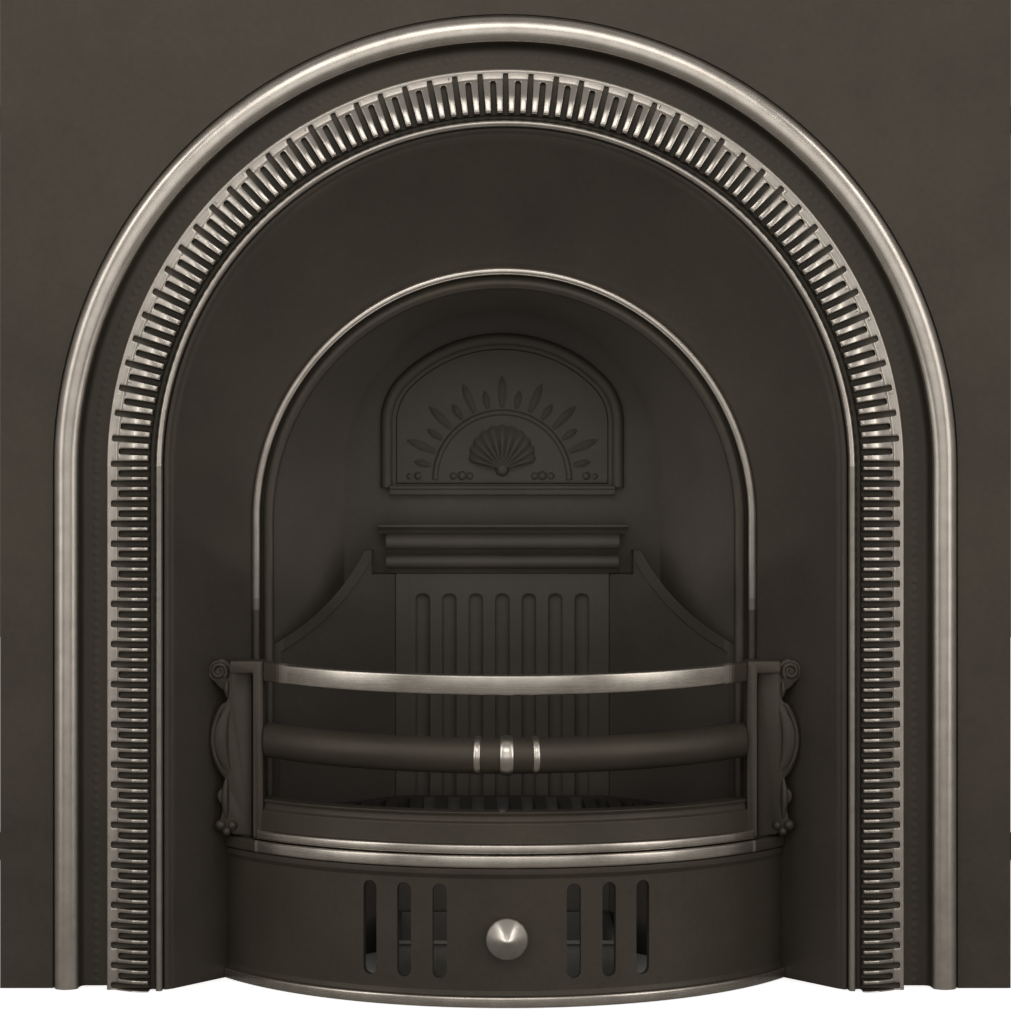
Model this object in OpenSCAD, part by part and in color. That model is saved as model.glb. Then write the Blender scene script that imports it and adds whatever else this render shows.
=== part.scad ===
// Arched cast iron fireplace insert, in millimetres. +Z is up and the front faces -Y.
// Depths are given as "d": the distance in front of the front plate's face, negative behind it.

/* [Front plate] */
// Width of the front plate
plate_w = 965; // [940:5:1040]
// Height of the front plate
plate_h = 965; // [950:5:1040]
// Thickness of the castings' main walls
plate_t = 6; // [5:0.5:8]
// Depth of the return rim behind the plate's edges
rim_d = 24; // [16:1:40]
// Height between the fixing lugs' holes
lug_spacing_z = 700; // [500:10:760]

/* [Arch mouldings] */
// Height at which the outer arch springs
arch_spring_z = 498; // [470:1:500]
// Radius of the arch to the middle of the polished outer bead
bead_r = 419; // [415:1:419]
// Radius of the outer bead's own section
bead_s = 10; // [8:0.5:10]
// Depth of the cove's floor behind the plate's face
cove_d = 12.5; // [12:0.5:15]
// Number of equal steps from groove to groove round the fluted crown
crown_flutes = 96; // [60:4:108]
// Number of grooves down each fluted leg
leg_flutes = 52; // [30:2:56]
// Width of one groove
flute_w = 5.3; // [4:0.1:6]

/* [Reveal and opening] */
// Height at which the firebox opening's arch springs
opening_spring_z = 447.5; // [430:0.5:460]
// Radius of the opening where the splay ends
opening_r = 247; // [240:1:247]
// Depth of the splay's inner end behind the plate's face
opening_d = 80; // [70:1:90]

/* [Firebox] */
// Depth of the firebox to the face of its back
box_d = 209; // [190:1:215]
// Radius of the throat shell where it meets the back
back_r = 165; // [160:1:168]
// Height at which the throat shell's back arch springs
back_spring_z = 500; // [495:1:505]
// Half the width of the fluted panel
panel_half_w = 111; // [105:1:114]
// Height of the cornice's underside
cornice_z = 391; // [380:1:400]
// Height of the grate's top
grate_top_z = 160; // [158:1:170]

/* [Register door] */
// Radius of the arched roll round the register door, at its crown
roll_r = 145; // [143:1:147]
// Height of the centre of that crown's curve
roll_z = 490; // [486:1:492]
// Radius of the two hinge pins
pin_r = 3; // [2.5:0.1:3.5]

/* [Fire front] */
// Radius of the bow, in plan, to the ash pan cover's base
bow_r = 338; // [334:1:340]
// Distance in front of the plate's face that the cover's base reaches
bow_reach = 90; // [86:1:92]
// Radius of the round middle bar
middle_bar_r = 16; // [12:0.5:16]
// Height of the middle bar's ends
middle_bar_z = 234.5; // [230:0.5:240]
// Height of the top bar's lower edge at its ends
top_bar_z = 290; // [284:0.5:292]
// Height of the flat top bar
top_bar_h = 17; // [12:0.5:17]

/* [Ash pan cover] */
// Height of the ash pan cover
cover_h = 139.4; // [130:0.2:139.4]
// Width of one draught slot
slot_w = 13.5; // [10:0.5:14]
// Height of the knob's centre
knob_z = 64.5; // [50:0.5:80]
// Radius of the knob
knob_r = 19.3; // [15:0.1:22]

/* [Hidden] */

iron = [0.13, 0.12, 0.11];
soot = [0.09, 0.09, 0.09];
steel = [0.72, 0.71, 0.69];
fine = 96;
thin = 0.01;
small = 32;
far = 1200;
gap = 0.15;
body_gap = 0.3;

// The whole part reaches from the knob's tip to the register's hinge ears, centred on Y = 0.
front_reach = 112;
rear_reach = 234;
face_y = -(rear_reach - front_reach) / 2;

// Mouldings, as radii of the arch and depths
plate_opening_r = bead_r + bead_s + 3;
frame_flange_r = bead_r + 31;
frame_back_d = -cove_d - plate_t;
frame_inner_r = 350;
band_r = 379.5;
band_inner_r = 326;
thin_bead_r = 329.2;
thin_bead_d = 11.5;
thin_bead_s = 2.7;
crest_in_r = 338.5;
lip_d = 8;
ridge_d = 12.5;
crest_d = 20;
groove_floor_d = 5.5;
long_flute_r = band_r - 4 - flute_w / 2;
short_flute_r = band_r - 11.5 - flute_w / 2;
crown_end_angle = 0.35;
lowest_flute_z = 4.2;
flute_joint_rise = 2.6;
splay_front_r = 319.5;
splay_front_d = 5;
wall = 6;
splay_flange_r = 372;
moulding_stud_r = (frame_inner_r + splay_flange_r) / 2;
boss_r = 7;

// Firebox layers, one behind the other
ring_d = -opening_d - 2;
ring_t = 6;
shell_front_d = ring_d - ring_t;
shell_front_r = opening_r - 13;
shell_wall = 5;
shell_flange_t = 5;
throat_flange_r = 275;
throat_bolt_r = 269;
back_d = -box_d;
back_flange_r = back_r + 25;
back_bolt_r = back_r + 16;
ring_inner_r = opening_r - 21;
roll_s = 5.5;
cheek_front_x = opening_r - 25;
panel_proud = 10;
shoulder_x = 327;
shoulder_z = 503.4;
shoulder_r = 205.5;

// Register door and the three-centred arch round it: the crown's arc meets two smaller arcs at 45 degrees
shoulder_off = 58;
shoulder_arc_r = roll_r - shoulder_off * sqrt(2);
roll_half_w = shoulder_off + shoulder_arc_r;
door_inset = 10;
door_sill_z = 484;
hinge_z = 472;
hinge_d = back_d - plate_t - 11;
ear_r = 8;
knuckle_x = 80;
knuckle_w = 16;
door_gap = 1;

// Bow of the bars and the cover, as radii in plan about a vertical axis
bow_d = bow_reach - bow_r;
cover_face_r = bow_r - 5.2;
cover_inner_r = bow_r - 11;
rail_outer_r = bow_r - 2;
rail_face_r = bow_r - 7;
rail_inner_r = bow_r - 29;
rail_bottom_z = 140.6;
rail_top_z = 185;
rail_angle = 47;
bar_outer_r = bow_r - 7;
middle_r = bow_r - 19;
grate_r = bow_r - 41;
post_x = 232;
post_w = 10.5;
post_front_d = -12;
post_back_d = -44;
middle_rivet_d = -27;
top_rivet_d = -17;
rivet_in = 5;
lug_z = 299.3;
lug_h = 12;
bracket_front_d = -34.3;
bracket_t = 7.7;
bracket_x = 245;
bracket_w = 19.5;
bracket_low_z = 141.5;
pan_front_d = -28;
grate_t = 14;
carrier_top_z = grate_top_z - grate_t - body_gap;
carrier_h = 10;

// Fasteners
stud_r = 3;
bolt_r = 2.5;
bolt_head_r = 4.6;
bolt_head_h = 4;
nut_h = 5;
crown_angles = [18, 54, 90, 126, 162];
leg_heights = [60, 250, 440];
throat_angles = [15, 52.5, 90, 127.5, 165];
back_angles = [0, 36, 72, 108, 144, 180];
back_leg_heights = [60, 240];

// Y of a plane that lies d in front of the front plate's face
function face(d) = face_y - d;

// Half a disc above z = 0, drawn as (x, z)
module half_disc(r) {
    intersection() {
        circle(r, $fn = fine);
        translate([-2 * r, 0]) square([4 * r, 2 * r]);
    }
}

// An arch on straight legs, drawn as (x, z)
module arch_shape(r, spring_z, base_z = 0) {
    translate([0, spring_z]) half_disc(r);
    translate([-r, base_z]) square([2 * r, spring_z - base_z]);
}

// A plate drawn as (x, z), whose front lies at depth d
module slab(d, thickness) {
    translate([0, face(d) + thickness, 0]) rotate([90, 0, 0]) linear_extrude(height = thickness) children();
}

// Turns a section drawn as (radius, d) round the crown of an arch
module crown_sweep(spring_z) {
    translate([0, face_y, spring_z]) rotate([90, 0, 0]) rotate_extrude(angle = 180, $fn = fine) children();
}

// Runs a section drawn as (radius, d) down the right leg of an arch
module leg_sweep(spring_z) {
    translate([0, face_y, 0]) linear_extrude(height = spring_z) mirror([0, 1]) children();
}

module arch_sweep(spring_z) {
    crown_sweep(spring_z) children();
    leg_sweep(spring_z) children();
    mirror([1, 0, 0]) leg_sweep(spring_z) children();
}

// A cylinder along Y that starts at depth d and runs back
module rod(r, d, length, sides = small) {
    translate([0, face(d), 0]) rotate([-90, 0, 0]) cylinder(r = r, h = length, $fn = sides);
}

// Copies its children to places on an arch: angles round the crown and heights on both legs
module on_arch(r, spring_z, angles, heights) {
    for (a = angles) translate([r * cos(a), 0, spring_z + r * sin(a)]) children();
    for (z = heights, side = [-1, 1]) translate([side * r, 0, z]) children();
}

module on_frame_studs() {
    on_arch(frame_flange_r - 9, arch_spring_z, crown_angles, leg_heights) children();
}

module on_moulding_studs() {
    on_arch(moulding_stud_r, arch_spring_z, crown_angles, leg_heights) children();
}

module on_throat_bolts() {
    on_arch(throat_bolt_r, opening_spring_z, throat_angles, leg_heights) children();
}

module on_back_bolts() {
    on_arch(back_bolt_r, back_spring_z, back_angles, back_leg_heights) children();
}

// Turns a section drawn as (radius in plan, z) round the bow of the bars and the cover
module bow_sweep(half_angle) {
    translate([0, face(bow_d), 0]) rotate([0, 0, -90 - half_angle])
        rotate_extrude(angle = 2 * half_angle, $fn = fine) children();
}

// Tips a bow about its ends, so that its middle hangs lower
module tipped(angle, z) {
    translate([0, face(post_front_d), z]) rotate([angle, 0, 0]) translate([0, -face(post_front_d), -z]) children();
}

// Space taken by the splayed legs of the reveal, grown by a clearance
module splay_space(clearance) {
    splay_end_d = -opening_d;
    for (side = [0, 1]) mirror([side, 0, 0]) translate([0, face_y, 0]) linear_extrude(height = opening_spring_z)
        mirror([0, 1]) polygon([
            [splay_front_r - clearance, splay_front_d], [opening_r - clearance, splay_end_d],
            [far, splay_end_d], [far, splay_front_d]
        ]);
}

// ---- surround ----

module front_plate() {
    lug_w = 26;
    lug_out = 18;
    lug_in = 3;
    lug_hole_r = 3.5;
    color(iron) difference() {
        union() {
            slab(0, plate_t) translate([-plate_w / 2, 0]) square([plate_w, plate_h]);
            slab(-plate_t, rim_d - plate_t) difference() {
                translate([-plate_w / 2, 0]) square([plate_w, plate_h]);
                translate([wall - plate_w / 2, -1]) square([plate_w - 2 * wall, plate_h - wall + 1]);
            }
            lug_places() translate([-lug_in, face(-rim_d + wall), -lug_w / 2]) cube([lug_out + lug_in, wall, lug_w]);
        }
        slab(1, plate_t + 2) arch_shape(plate_opening_r, arch_spring_z, -1);
        on_frame_studs() rod(stud_r + gap, -plate_t + 3, 4);
        lug_places() translate([lug_out / 2, 0, 0]) rod(lug_hole_r, -rim_d + wall + 1, wall + 2);
    }
}

// Copies its children, drawn for the right side, to the four fixing lugs
module lug_places() {
    for (side = [0, 1], end = [-1, 1]) mirror([side, 0, 0])
        translate([plate_w / 2, 0, plate_h / 2 + end * lug_spacing_z / 2]) children();
}

// Section of the arch frame: outer flange, bead, cove and the flange behind the fluted band
module frame_section() {
    bead_root = bead_s * 0.85;
    cove_out_r = bead_r - bead_s - 2;
    translate([bead_r, -0.5]) circle(bead_s, $fn = small);
    polygon([
        [frame_flange_r, -plate_t], [bead_r + bead_root, -plate_t], [bead_r + bead_root, -3],
        [bead_r - bead_root, -3], [cove_out_r, -cove_d], [frame_inner_r, -cove_d],
        [frame_inner_r, frame_back_d], [cove_out_r, frame_back_d], [cove_out_r + 6, -plate_t - 5],
        [frame_flange_r, -plate_t - 5]
    ]);
}

module arch_frame() {
    color(iron) difference() {
        arch_sweep(arch_spring_z) frame_section();
        on_frame_studs() rod(stud_r + gap, 0, 14);
        on_moulding_studs() rod(stud_r + gap, -cove_d + 1, wall + 2);
    }
}

// Section of the fluted moulding: outer lip, flat, step, rising ridge, crest, groove and thin bead
module band_section() {
    bead_foot = thin_bead_s - 0.3;
    back_wall = 5;
    under_d = 1;
    translate([thin_bead_r, thin_bead_d]) circle(thin_bead_s, $fn = small);
    polygon([
        [band_r, -cove_d], [band_r, lip_d - 2], [band_r - 1.5, lip_d], [band_r - 10, lip_d + 0.4],
        [band_r - 11, ridge_d - 1], [band_r - 13, ridge_d], [band_r - 20, ridge_d + 3],
        [crest_in_r + 13.5, crest_d - 2.2], [crest_in_r + 6, crest_d - 0.5], [crest_in_r + 1.6, crest_d],
        [crest_in_r, crest_d - 1.6], [crest_in_r, groove_floor_d - 0.5],
        [thin_bead_r + 2 * bead_foot, groove_floor_d - 1], [thin_bead_r + bead_foot, thin_bead_d],
        [thin_bead_r - bead_foot, thin_bead_d], [band_inner_r, thin_bead_d - 3], [band_inner_r, frame_back_d],
        [band_inner_r + back_wall, frame_back_d], [band_inner_r + back_wall, -2], [crest_in_r + 2, -2],
        [crest_in_r + 6, under_d], [band_r - 12, under_d], [band_r - 6, -3], [band_r - 6, -cove_d]
    ]);
}

// One groove, pointing along +X from the arch's centre, with a rounded outer end
module flute_cutter(outer_r) {
    inner_r = crest_in_r - 2.5;
    cut = far / 20;
    translate([0, face(groove_floor_d) - cut, 0]) {
        translate([inner_r, 0, -flute_w / 2]) cube([outer_r - inner_r, cut, flute_w]);
        translate([outer_r, 0, 0]) rotate([-90, 0, 0]) cylinder(r = flute_w / 2, h = cut, $fn = small);
    }
}

module stud_boss_holes() {
    on_moulding_studs() rod(stud_r + gap, 4, far / 20);
}

module stud_bosses(angles, heights) {
    on_arch(moulding_stud_r, arch_spring_z, angles, heights) rod(boss_r, 2, cove_d + 2);
}

module fluted_crown() {
    step = (180 - 2 * crown_end_angle) / crown_flutes;
    color(steel) difference() {
        union() {
            crown_sweep(arch_spring_z) band_section();
            stud_bosses(crown_angles, []);
        }
        for (i = [0 : crown_flutes])
            translate([0, 0, arch_spring_z]) rotate([0, -crown_end_angle - i * step, 0])
                flute_cutter(i % 2 == 0 ? long_flute_r : short_flute_r);
        stud_boss_holes();
    }
}

module right_fluted_leg() {
    pitch = (arch_spring_z + flute_joint_rise - lowest_flute_z) / leg_flutes;
    color(steel) difference() {
        union() {
            leg_sweep(arch_spring_z) band_section();
            for (z = leg_heights) translate([moulding_stud_r, 0, z]) rod(boss_r, 2, cove_d + 2);
        }
        for (i = [0 : leg_flutes - 1])
            translate([0, 0, lowest_flute_z + i * pitch]) flute_cutter(i % 2 == 0 ? long_flute_r : short_flute_r);
        stud_boss_holes();
    }
}

module left_fluted_leg() {
    mirror([1, 0, 0]) right_fluted_leg();
}

module frame_studs() {
    color(steel) on_frame_studs() rod(stud_r, -plate_t + 2.5, 18);
}

module frame_nuts() {
    color(steel) on_frame_studs() nut(-plate_t - 5, stud_r);
}

module moulding_studs() {
    color(steel) on_moulding_studs() rod(stud_r, 3.5, 36);
}

module moulding_nuts() {
    color(steel) on_moulding_studs() nut(frame_back_d - wall, stud_r);
}

// A hexagon nut whose front lies at depth d
module nut(d, hole_r) {
    difference() {
        rod(hole_r * 1.9, d, nut_h, 6);
        rod(hole_r + gap, d + 1, nut_h + 2);
    }
}

// ---- reveal and throat ----

// Solid between two arches at two depths
module arch_taper(front_d, front_r, front_spring_z, rear_d, rear_r, rear_spring_z, base_z = 0) {
    hull() {
        slab(front_d, thin) arch_shape(front_r, front_spring_z, base_z);
        slab(rear_d + thin, thin) arch_shape(rear_r, rear_spring_z, base_z);
    }
}

module splay_arch() {
    over = 2;
    slope = (splay_front_r - opening_r) / (splay_front_d + opening_d);
    rise = (arch_spring_z - opening_spring_z) / (splay_front_d + opening_d);
    color(iron) difference() {
        union() {
            arch_taper(splay_front_d, splay_front_r + wall, arch_spring_z, -opening_d, opening_r + wall,
                opening_spring_z);
            slab(frame_back_d, wall) arch_shape(splay_flange_r, arch_spring_z);
            slab(-opening_d + 4, wall) arch_shape(throat_flange_r, opening_spring_z);
            bracket_bolt_places() rod(8, bracket_front_d - 10, 14);
        }
        arch_taper(splay_front_d + over, splay_front_r + over * slope, arch_spring_z + over * rise,
            -opening_d, opening_r, opening_spring_z, -1);
        slab(-opening_d + thin, 3) arch_shape(opening_r, opening_spring_z, -1);
        on_moulding_studs() rod(stud_r + gap, frame_back_d + 1, wall + 2);
        on_throat_bolts() rod(bolt_r + gap, -opening_d + 5, wall + 2);
        bracket_bolt_places() rod(bolt_r + gap, -40, 60);
    }
}

// Section of the inner ring: flange, polished bead, groove and black roll
module ring_section() {
    ring_bead_s = 3.2;
    translate([opening_r - ring_bead_s - 0.7, -opening_d]) circle(ring_bead_s, $fn = small);
    intersection() {
        translate([ring_inner_r + roll_s, -opening_d - 5]) circle(roll_s, $fn = small);
        translate([ring_inner_r, shell_front_d]) square([2 * roll_s, 2 * roll_s]);
    }
    polygon([
        [throat_flange_r, ring_d], [opening_r - 1.5, ring_d], [opening_r - 1.5, -opening_d - 0.8],
        [opening_r - 6.4, -opening_d - 0.8], [opening_r - 7.5, -opening_d - 5.5],
        [ring_inner_r + roll_s, -opening_d - 4], [ring_inner_r + 1.5, ring_d - 4],
        [ring_inner_r + 1.5, ring_d - ring_t], [throat_flange_r, ring_d - ring_t]
    ]);
}

module inner_arch_ring() {
    color(iron) difference() {
        arch_sweep(opening_spring_z) ring_section();
        on_throat_bolts() rod(bolt_r + gap, ring_d + 1, ring_t + 2);
    }
}

module throat_shell() {
    over = 2;
    depth = box_d + shell_front_d;
    slope = (shell_front_r - back_r) / depth;
    rise = (back_spring_z - opening_spring_z) / depth;
    color(soot) difference() {
        union() {
            arch_taper(shell_front_d, shell_front_r + shell_wall, opening_spring_z, back_d, back_r + shell_wall,
                back_spring_z);
            slab(shell_front_d, shell_flange_t) arch_shape(throat_flange_r, opening_spring_z);
            slab(back_d + shell_flange_t, shell_flange_t) arch_shape(back_flange_r, back_spring_z);
        }
        arch_taper(shell_front_d + over, shell_front_r + over * slope, opening_spring_z - over * rise,
            back_d - over, back_r - over * slope, back_spring_z + over * rise, -1);
        on_throat_bolts() rod(bolt_r + gap, shell_front_d + 1, shell_flange_t + 2);
        on_back_bolts() rod(bolt_r + gap, back_d + shell_flange_t + 1, shell_flange_t + 2);
    }
}

module throat_bolts() {
    color(soot) on_throat_bolts() {
        rod(bolt_head_r, -opening_d + 8, bolt_head_h, 6);
        rod(bolt_r, -opening_d + 4, 25);
    }
}

module throat_nuts() {
    color(soot) on_throat_bolts() nut(shell_front_d - shell_flange_t, bolt_r);
}

// ---- fireback ----

// Three-centred arch of the register door, drawn as (x, z)
module basket_arch(inset, base_z) {
    half_w = roll_half_w - inset;
    small_r = shoulder_arc_r - inset;
    big_r = roll_r - inset;
    right = [for (a = [0 : 5 : 40]) [shoulder_off + small_r * cos(a), roll_z + shoulder_off + small_r * sin(a)]];
    crown = [for (a = [45 : 3 : 135]) [big_r * cos(a), roll_z + big_r * sin(a)]];
    left = [for (a = [140 : 5 : 180]) [-shoulder_off + small_r * cos(a), roll_z + shoulder_off + small_r * sin(a)]];
    polygon(concat([[half_w, base_z]], right, crown, left, [[-half_w, base_z]]));
}

// The half-round roll that follows that arch
module arched_roll(section_r) {
    translate([0, face(back_d), roll_z]) rotate([90, 0, 0]) {
        rotate([0, 0, 45]) rotate_extrude(angle = 90, $fn = fine) translate([roll_r, 0]) circle(section_r, $fn = small);
        for (side = [0, 1]) mirror([side, 0, 0]) translate([shoulder_off, shoulder_off, 0])
            rotate_extrude(angle = 45, $fn = fine) translate([shoulder_arc_r, 0]) circle(section_r, $fn = small);
    }
    for (side = [-1, 1]) translate([side * roll_half_w, face(back_d), door_sill_z - 4])
        cylinder(r = section_r, h = roll_z + shoulder_off - door_sill_z + 4, $fn = small);
}

module upper_fireback() {
    roll_w = 6;
    ledge_half_w = 117.5;
    ear_t = 5;
    color(soot) difference() {
        union() {
            slab(back_d, plate_t) difference() {
                arch_shape(back_flange_r, back_spring_z, cornice_z);
                basket_arch(door_inset, door_sill_z);
            }
            difference() {
                arched_roll(roll_w);
                slab(back_d - 1, far) translate([-far / 2, 0]) square([far, far]);
            }
            slab(back_d + 10, 10) translate([-ledge_half_w, door_sill_z - 12]) square([2 * ledge_half_w, 10]);
            for (x = [-knuckle_x, knuckle_x], side = [-1, 1])
                translate([x + side * (knuckle_w / 2 + body_gap + ear_t / 2) - ear_t / 2, 0, hinge_z]) hinge_ear(ear_t);
        }
        translate([-far / 2, face(hinge_d), hinge_z]) rotate([0, 90, 0])
            cylinder(r = pin_r + 0.03, h = far, $fn = small);
        on_back_bolts() rod(bolt_r + gap, back_d + 1, plate_t + 2);
        on_cornice_bolts() rod(bolt_r + gap, back_d + 1, plate_t + 2);
    }
}

// An ear that stands behind the upper fireback and holds one end of a hinge pin
module hinge_ear(thickness) {
    translate([0, face(hinge_d), 0]) rotate([0, 90, 0]) cylinder(r = ear_r, h = thickness, $fn = small);
    translate([0, face(back_d - plate_t + 1), -ear_r]) cube([thickness, 12, 2 * ear_r]);
}

module hinge_pins() {
    color(steel) for (x = [-knuckle_x, knuckle_x])
        translate([x - knuckle_w / 2 - 9, face(hinge_d), hinge_z]) rotate([0, 90, 0])
            cylinder(r = pin_r, h = knuckle_w + 18, $fn = small);
}

module register_door() {
    flap_d = back_d - plate_t - door_gap;
    flap_t = 5;
    field_d = back_d - 1;
    ring_r = 70;
    sun_z = 488.5;
    ray_step = 11.25;
    ray_in = 76;
    ray_long = 31;
    ray_short = 17;
    color(soot) difference() {
        union() {
            slab(flap_d, flap_t) basket_arch(door_inset - 6, door_sill_z - 2.7);
            slab(field_d, plate_t + 0.5) basket_arch(door_inset + 1.5, door_sill_z + 2);
            translate([0, face(field_d), sun_z]) rotate([90, 0, 0]) {
                rotate_extrude(angle = 180, $fn = fine) translate([ring_r, 0]) polygon([
                    [-3, -1], [3, -1], [3, 0.4], [1.6, 2.4], [-1.6, 2.4], [-3, 0.4]
                ]);
                for (i = [1 : 15]) rotate([0, 0, i * ray_step]) translate([ray_in, 0, -1])
                    sun_ray(i % 2 == 0 ? ray_long : ray_short);
            }
            for (x = [-knuckle_x, knuckle_x]) translate([x - knuckle_w / 2, 0, hinge_z]) {
                translate([0, face(hinge_d), 0]) rotate([0, 90, 0]) cylinder(r = 6.5, h = knuckle_w, $fn = small);
                translate([0, face(flap_d), 0]) cube([knuckle_w, flap_d - hinge_d, 16]);
            }
        }
        translate([-far / 2, face(hinge_d), hinge_z]) rotate([0, 90, 0])
            cylinder(r = pin_r + 0.05, h = far, $fn = small);
    }
}

// One leaf-like ray of the sunburst, pointing along +X and standing 3 mm proud
module sun_ray(length) {
    half_w = 3.8;
    linear_extrude(height = 4) polygon([
        [0, -half_w / 2], [length * 0.55, -half_w], [length, 0], [length * 0.55, half_w], [0, half_w / 2]
    ]);
}

module shell_ornament() {
    ribs = 9;
    base_z = 497;
    spread = 75;
    length = 40;
    field_d = back_d - 1;
    color(soot) intersection() {
        union() {
            for (i = [0 : ribs - 1]) {
                a = -spread + i * 2 * spread / (ribs - 1);
                reach = length * (0.72 + 0.28 * cos(a));
                hull() {
                    translate([0, face(field_d), base_z + 4]) sphere(r = 3, $fn = 12);
                    translate([reach * sin(a), face(field_d), base_z + 4 + reach * cos(a)]) sphere(r = 5.2, $fn = 12);
                }
            }
            translate([0, face(field_d), base_z]) sphere(r = 6, $fn = small);
        }
        slab(field_d + 8, 8) translate([-far / 2, 0]) square([far, far]);
    }
}

module on_cornice_bolts() {
    for (x = [-90, 90]) translate([x, 0, cornice_z + 22]) children();
}

module cornice_shelf() {
    half_w = 133;
    color(soot) difference() {
        translate([-half_w, face_y, 0]) rotate([90, 0, 90]) linear_extrude(height = 2 * half_w) mirror([1, 0])
            cornice_section();
        on_cornice_bolts() rod(bolt_r + gap, back_d + 14, 14.5);
    }
}

// Section of the cornice, drawn as (d, z): two rolls under a flat top
module cornice_section() {
    polygon([
        [back_d, cornice_z], [back_d + 12, cornice_z], [back_d + 16, cornice_z + 5], [back_d + 16, cornice_z + 19],
        [back_d + 26, cornice_z + 25], [back_d + 26, cornice_z + 40], [back_d + 34, cornice_z + 46],
        [back_d + 34, cornice_z + 49], [back_d, cornice_z + 49]
    ]);
    translate([back_d + 18, cornice_z + 12]) circle(7, $fn = small);
    translate([back_d + 27, cornice_z + 32.5]) circle(7.5, $fn = small);
}

module lower_fireback() {
    flute_pitch = 27.6;
    flute_r = 7.5;
    flute_top_z = 362;
    panel_low_z = 150;
    panel_d = back_d + panel_proud;
    color(soot) difference() {
        union() {
            slab(back_d, plate_t) translate([-back_flange_r, 0]) square([2 * back_flange_r, cornice_z - 0.5]);
            slab(panel_d, panel_proud + 1) translate([-panel_half_w, panel_low_z])
                square([2 * panel_half_w, cornice_z - 0.5 - panel_low_z]);
        }
        for (i = [-3 : 3]) translate([i * flute_pitch, face(panel_d + 3), 0]) {
            translate([0, 0, -1]) cylinder(r = flute_r, h = flute_top_z + 1, $fn = small);
            translate([0, 0, flute_top_z]) sphere(r = flute_r, $fn = small);
        }
        on_back_bolts() rod(bolt_r + gap, back_d + 1, plate_t + 2);
        on_cheek_bolts() rod(bolt_r + gap, back_d + 1, plate_t + 2);
    }
}

module on_cheek_bolts() {
    for (x = [-1, 1], z = [120, 320]) translate([x * (panel_half_w + 6), 0, z]) children();
}

module fireback_bolts() {
    head_d = back_d - plate_t - bolt_head_h;
    color(soot) {
        on_back_bolts() {
            rod(bolt_head_r, head_d + bolt_head_h, bolt_head_h, 6);
            rod(bolt_r, back_d + 12, 19);
        }
        on_cheek_bolts() {
            rod(bolt_head_r, head_d + bolt_head_h, bolt_head_h, 6);
            rod(bolt_r, back_d + 6, 12.5);
        }
        on_cornice_bolts() {
            rod(bolt_head_r, head_d + bolt_head_h, bolt_head_h, 6);
            rod(bolt_r, back_d + 12, 18.5);
        }
    }
}

module fireback_nuts() {
    color(soot) on_back_bolts() nut(back_d + shell_flange_t + nut_h, bolt_r);
}

// Plan of one cheek, drawn as (x, d), for the left side
module cheek_plan(proud = 0) {
    front_d = shell_front_d - 1;
    polygon([
        [-(shell_front_r - 3), front_d], [-cheek_front_x + proud, front_d],
        [-panel_half_w - 0.5, back_d + panel_proud + proud], [-panel_half_w - 0.5, back_d + 0.5],
        [-panel_half_w - 11, back_d + 0.5]
    ]);
}

// Space between the left cheek and the throat shell, drawn as (x, d)
module hob_plan() {
    front_d = shell_front_d - 1;
    polygon([
        [-(shell_front_r - 2.5), front_d], [-cheek_front_x, front_d],
        [-panel_half_w - 0.5, back_d + panel_proud], [-panel_half_w - 0.5, back_d + 0.5],
        [-(back_r - 1.5), back_d + 0.5]
    ]);
}

module left_cheek() {
    top_z = 415;
    hob_z = 240;
    rim_w = 10;
    skin = 7;
    front_w = 6;
    lug_h_z = 12;
    color(soot) difference() {
        union() {
            difference() {
                union() {
                    plan_prism(0, top_z) cheek_plan();
                    intersection() {
                        plan_prism(hob_z, top_z - hob_z) hob_plan();
                        shoulder_disc(shoulder_r + skin);
                    }
                    intersection() {
                        plan_prism(hob_z, top_z - hob_z) cheek_plan(3);
                        shoulder_disc(shoulder_r + rim_w);
                    }
                }
                shoulder_disc(shoulder_r);
            }
            plan_prism(carrier_top_z - carrier_h - lug_h_z, lug_h_z - body_gap) cheek_lug_plan();
        }
        translate([-135, face(back_d + 60), cornice_z - 1]) cube([60, 60, 60]);
        on_cheek_bolts() rod(bolt_r + gap, back_d + 7, 8);
    }
}

module right_cheek() {
    mirror([1, 0, 0]) left_cheek();
}

// A disc about the centre of the left shoulder's curve, through the whole depth
module shoulder_disc(r) {
    translate([-shoulder_x, 0, shoulder_z]) rod(r, 100, 400, fine);
}

// Raises a plan drawn as (x, d)
module plan_prism(base_z, height) {
    translate([0, face_y, base_z]) linear_extrude(height = height) mirror([0, 1]) children();
}

// Ledge on the left cheek's face that carries the grate carrier
module cheek_lug_plan() {
    front_d = shell_front_d - 15.5;
    rear_d = back_d + 24;
    polygon([
        [-cheek_front_x + 13, front_d], [-cheek_front_x + 28, front_d], [-panel_half_w - 3, rear_d],
        [-panel_half_w - 17, rear_d]
    ]);
}

// ---- grate ----

module grate_carrier() {
    inset = 16;
    color(soot) plan_prism(carrier_top_z - carrier_h, carrier_h) difference() {
        polygon([
            [-112.5, -197], [-217.5, -92.5], [-221, -88], [-221, -60], [221, -60], [221, -88],
            [217.5, -92.5], [112.5, -197]
        ]);
        polygon([
            [-112.5 + inset, -198], [-217.5 + inset, -94], [-221 + inset, -74], [221 - inset, -74],
            [217.5 - inset, -94], [112.5 - inset, -198]
        ]);
    }
}

// Outline of the grate in plan, drawn as (x, d), made smaller by an inset
module grate_plan(inset) {
    intersection() {
        translate([0, bow_d]) circle(grate_r - inset, $fn = fine);
        polygon([
            [-104 + inset * 0.6, -194 + inset], [-214 + inset, -85 - inset * 0.4], [-222 + inset, -60],
            [-222 + inset, 80], [222 - inset, 80], [222 - inset, -60],
            [214 - inset, -85 - inset * 0.4], [104 - inset * 0.6, -194 + inset]
        ]);
    }
}

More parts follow.
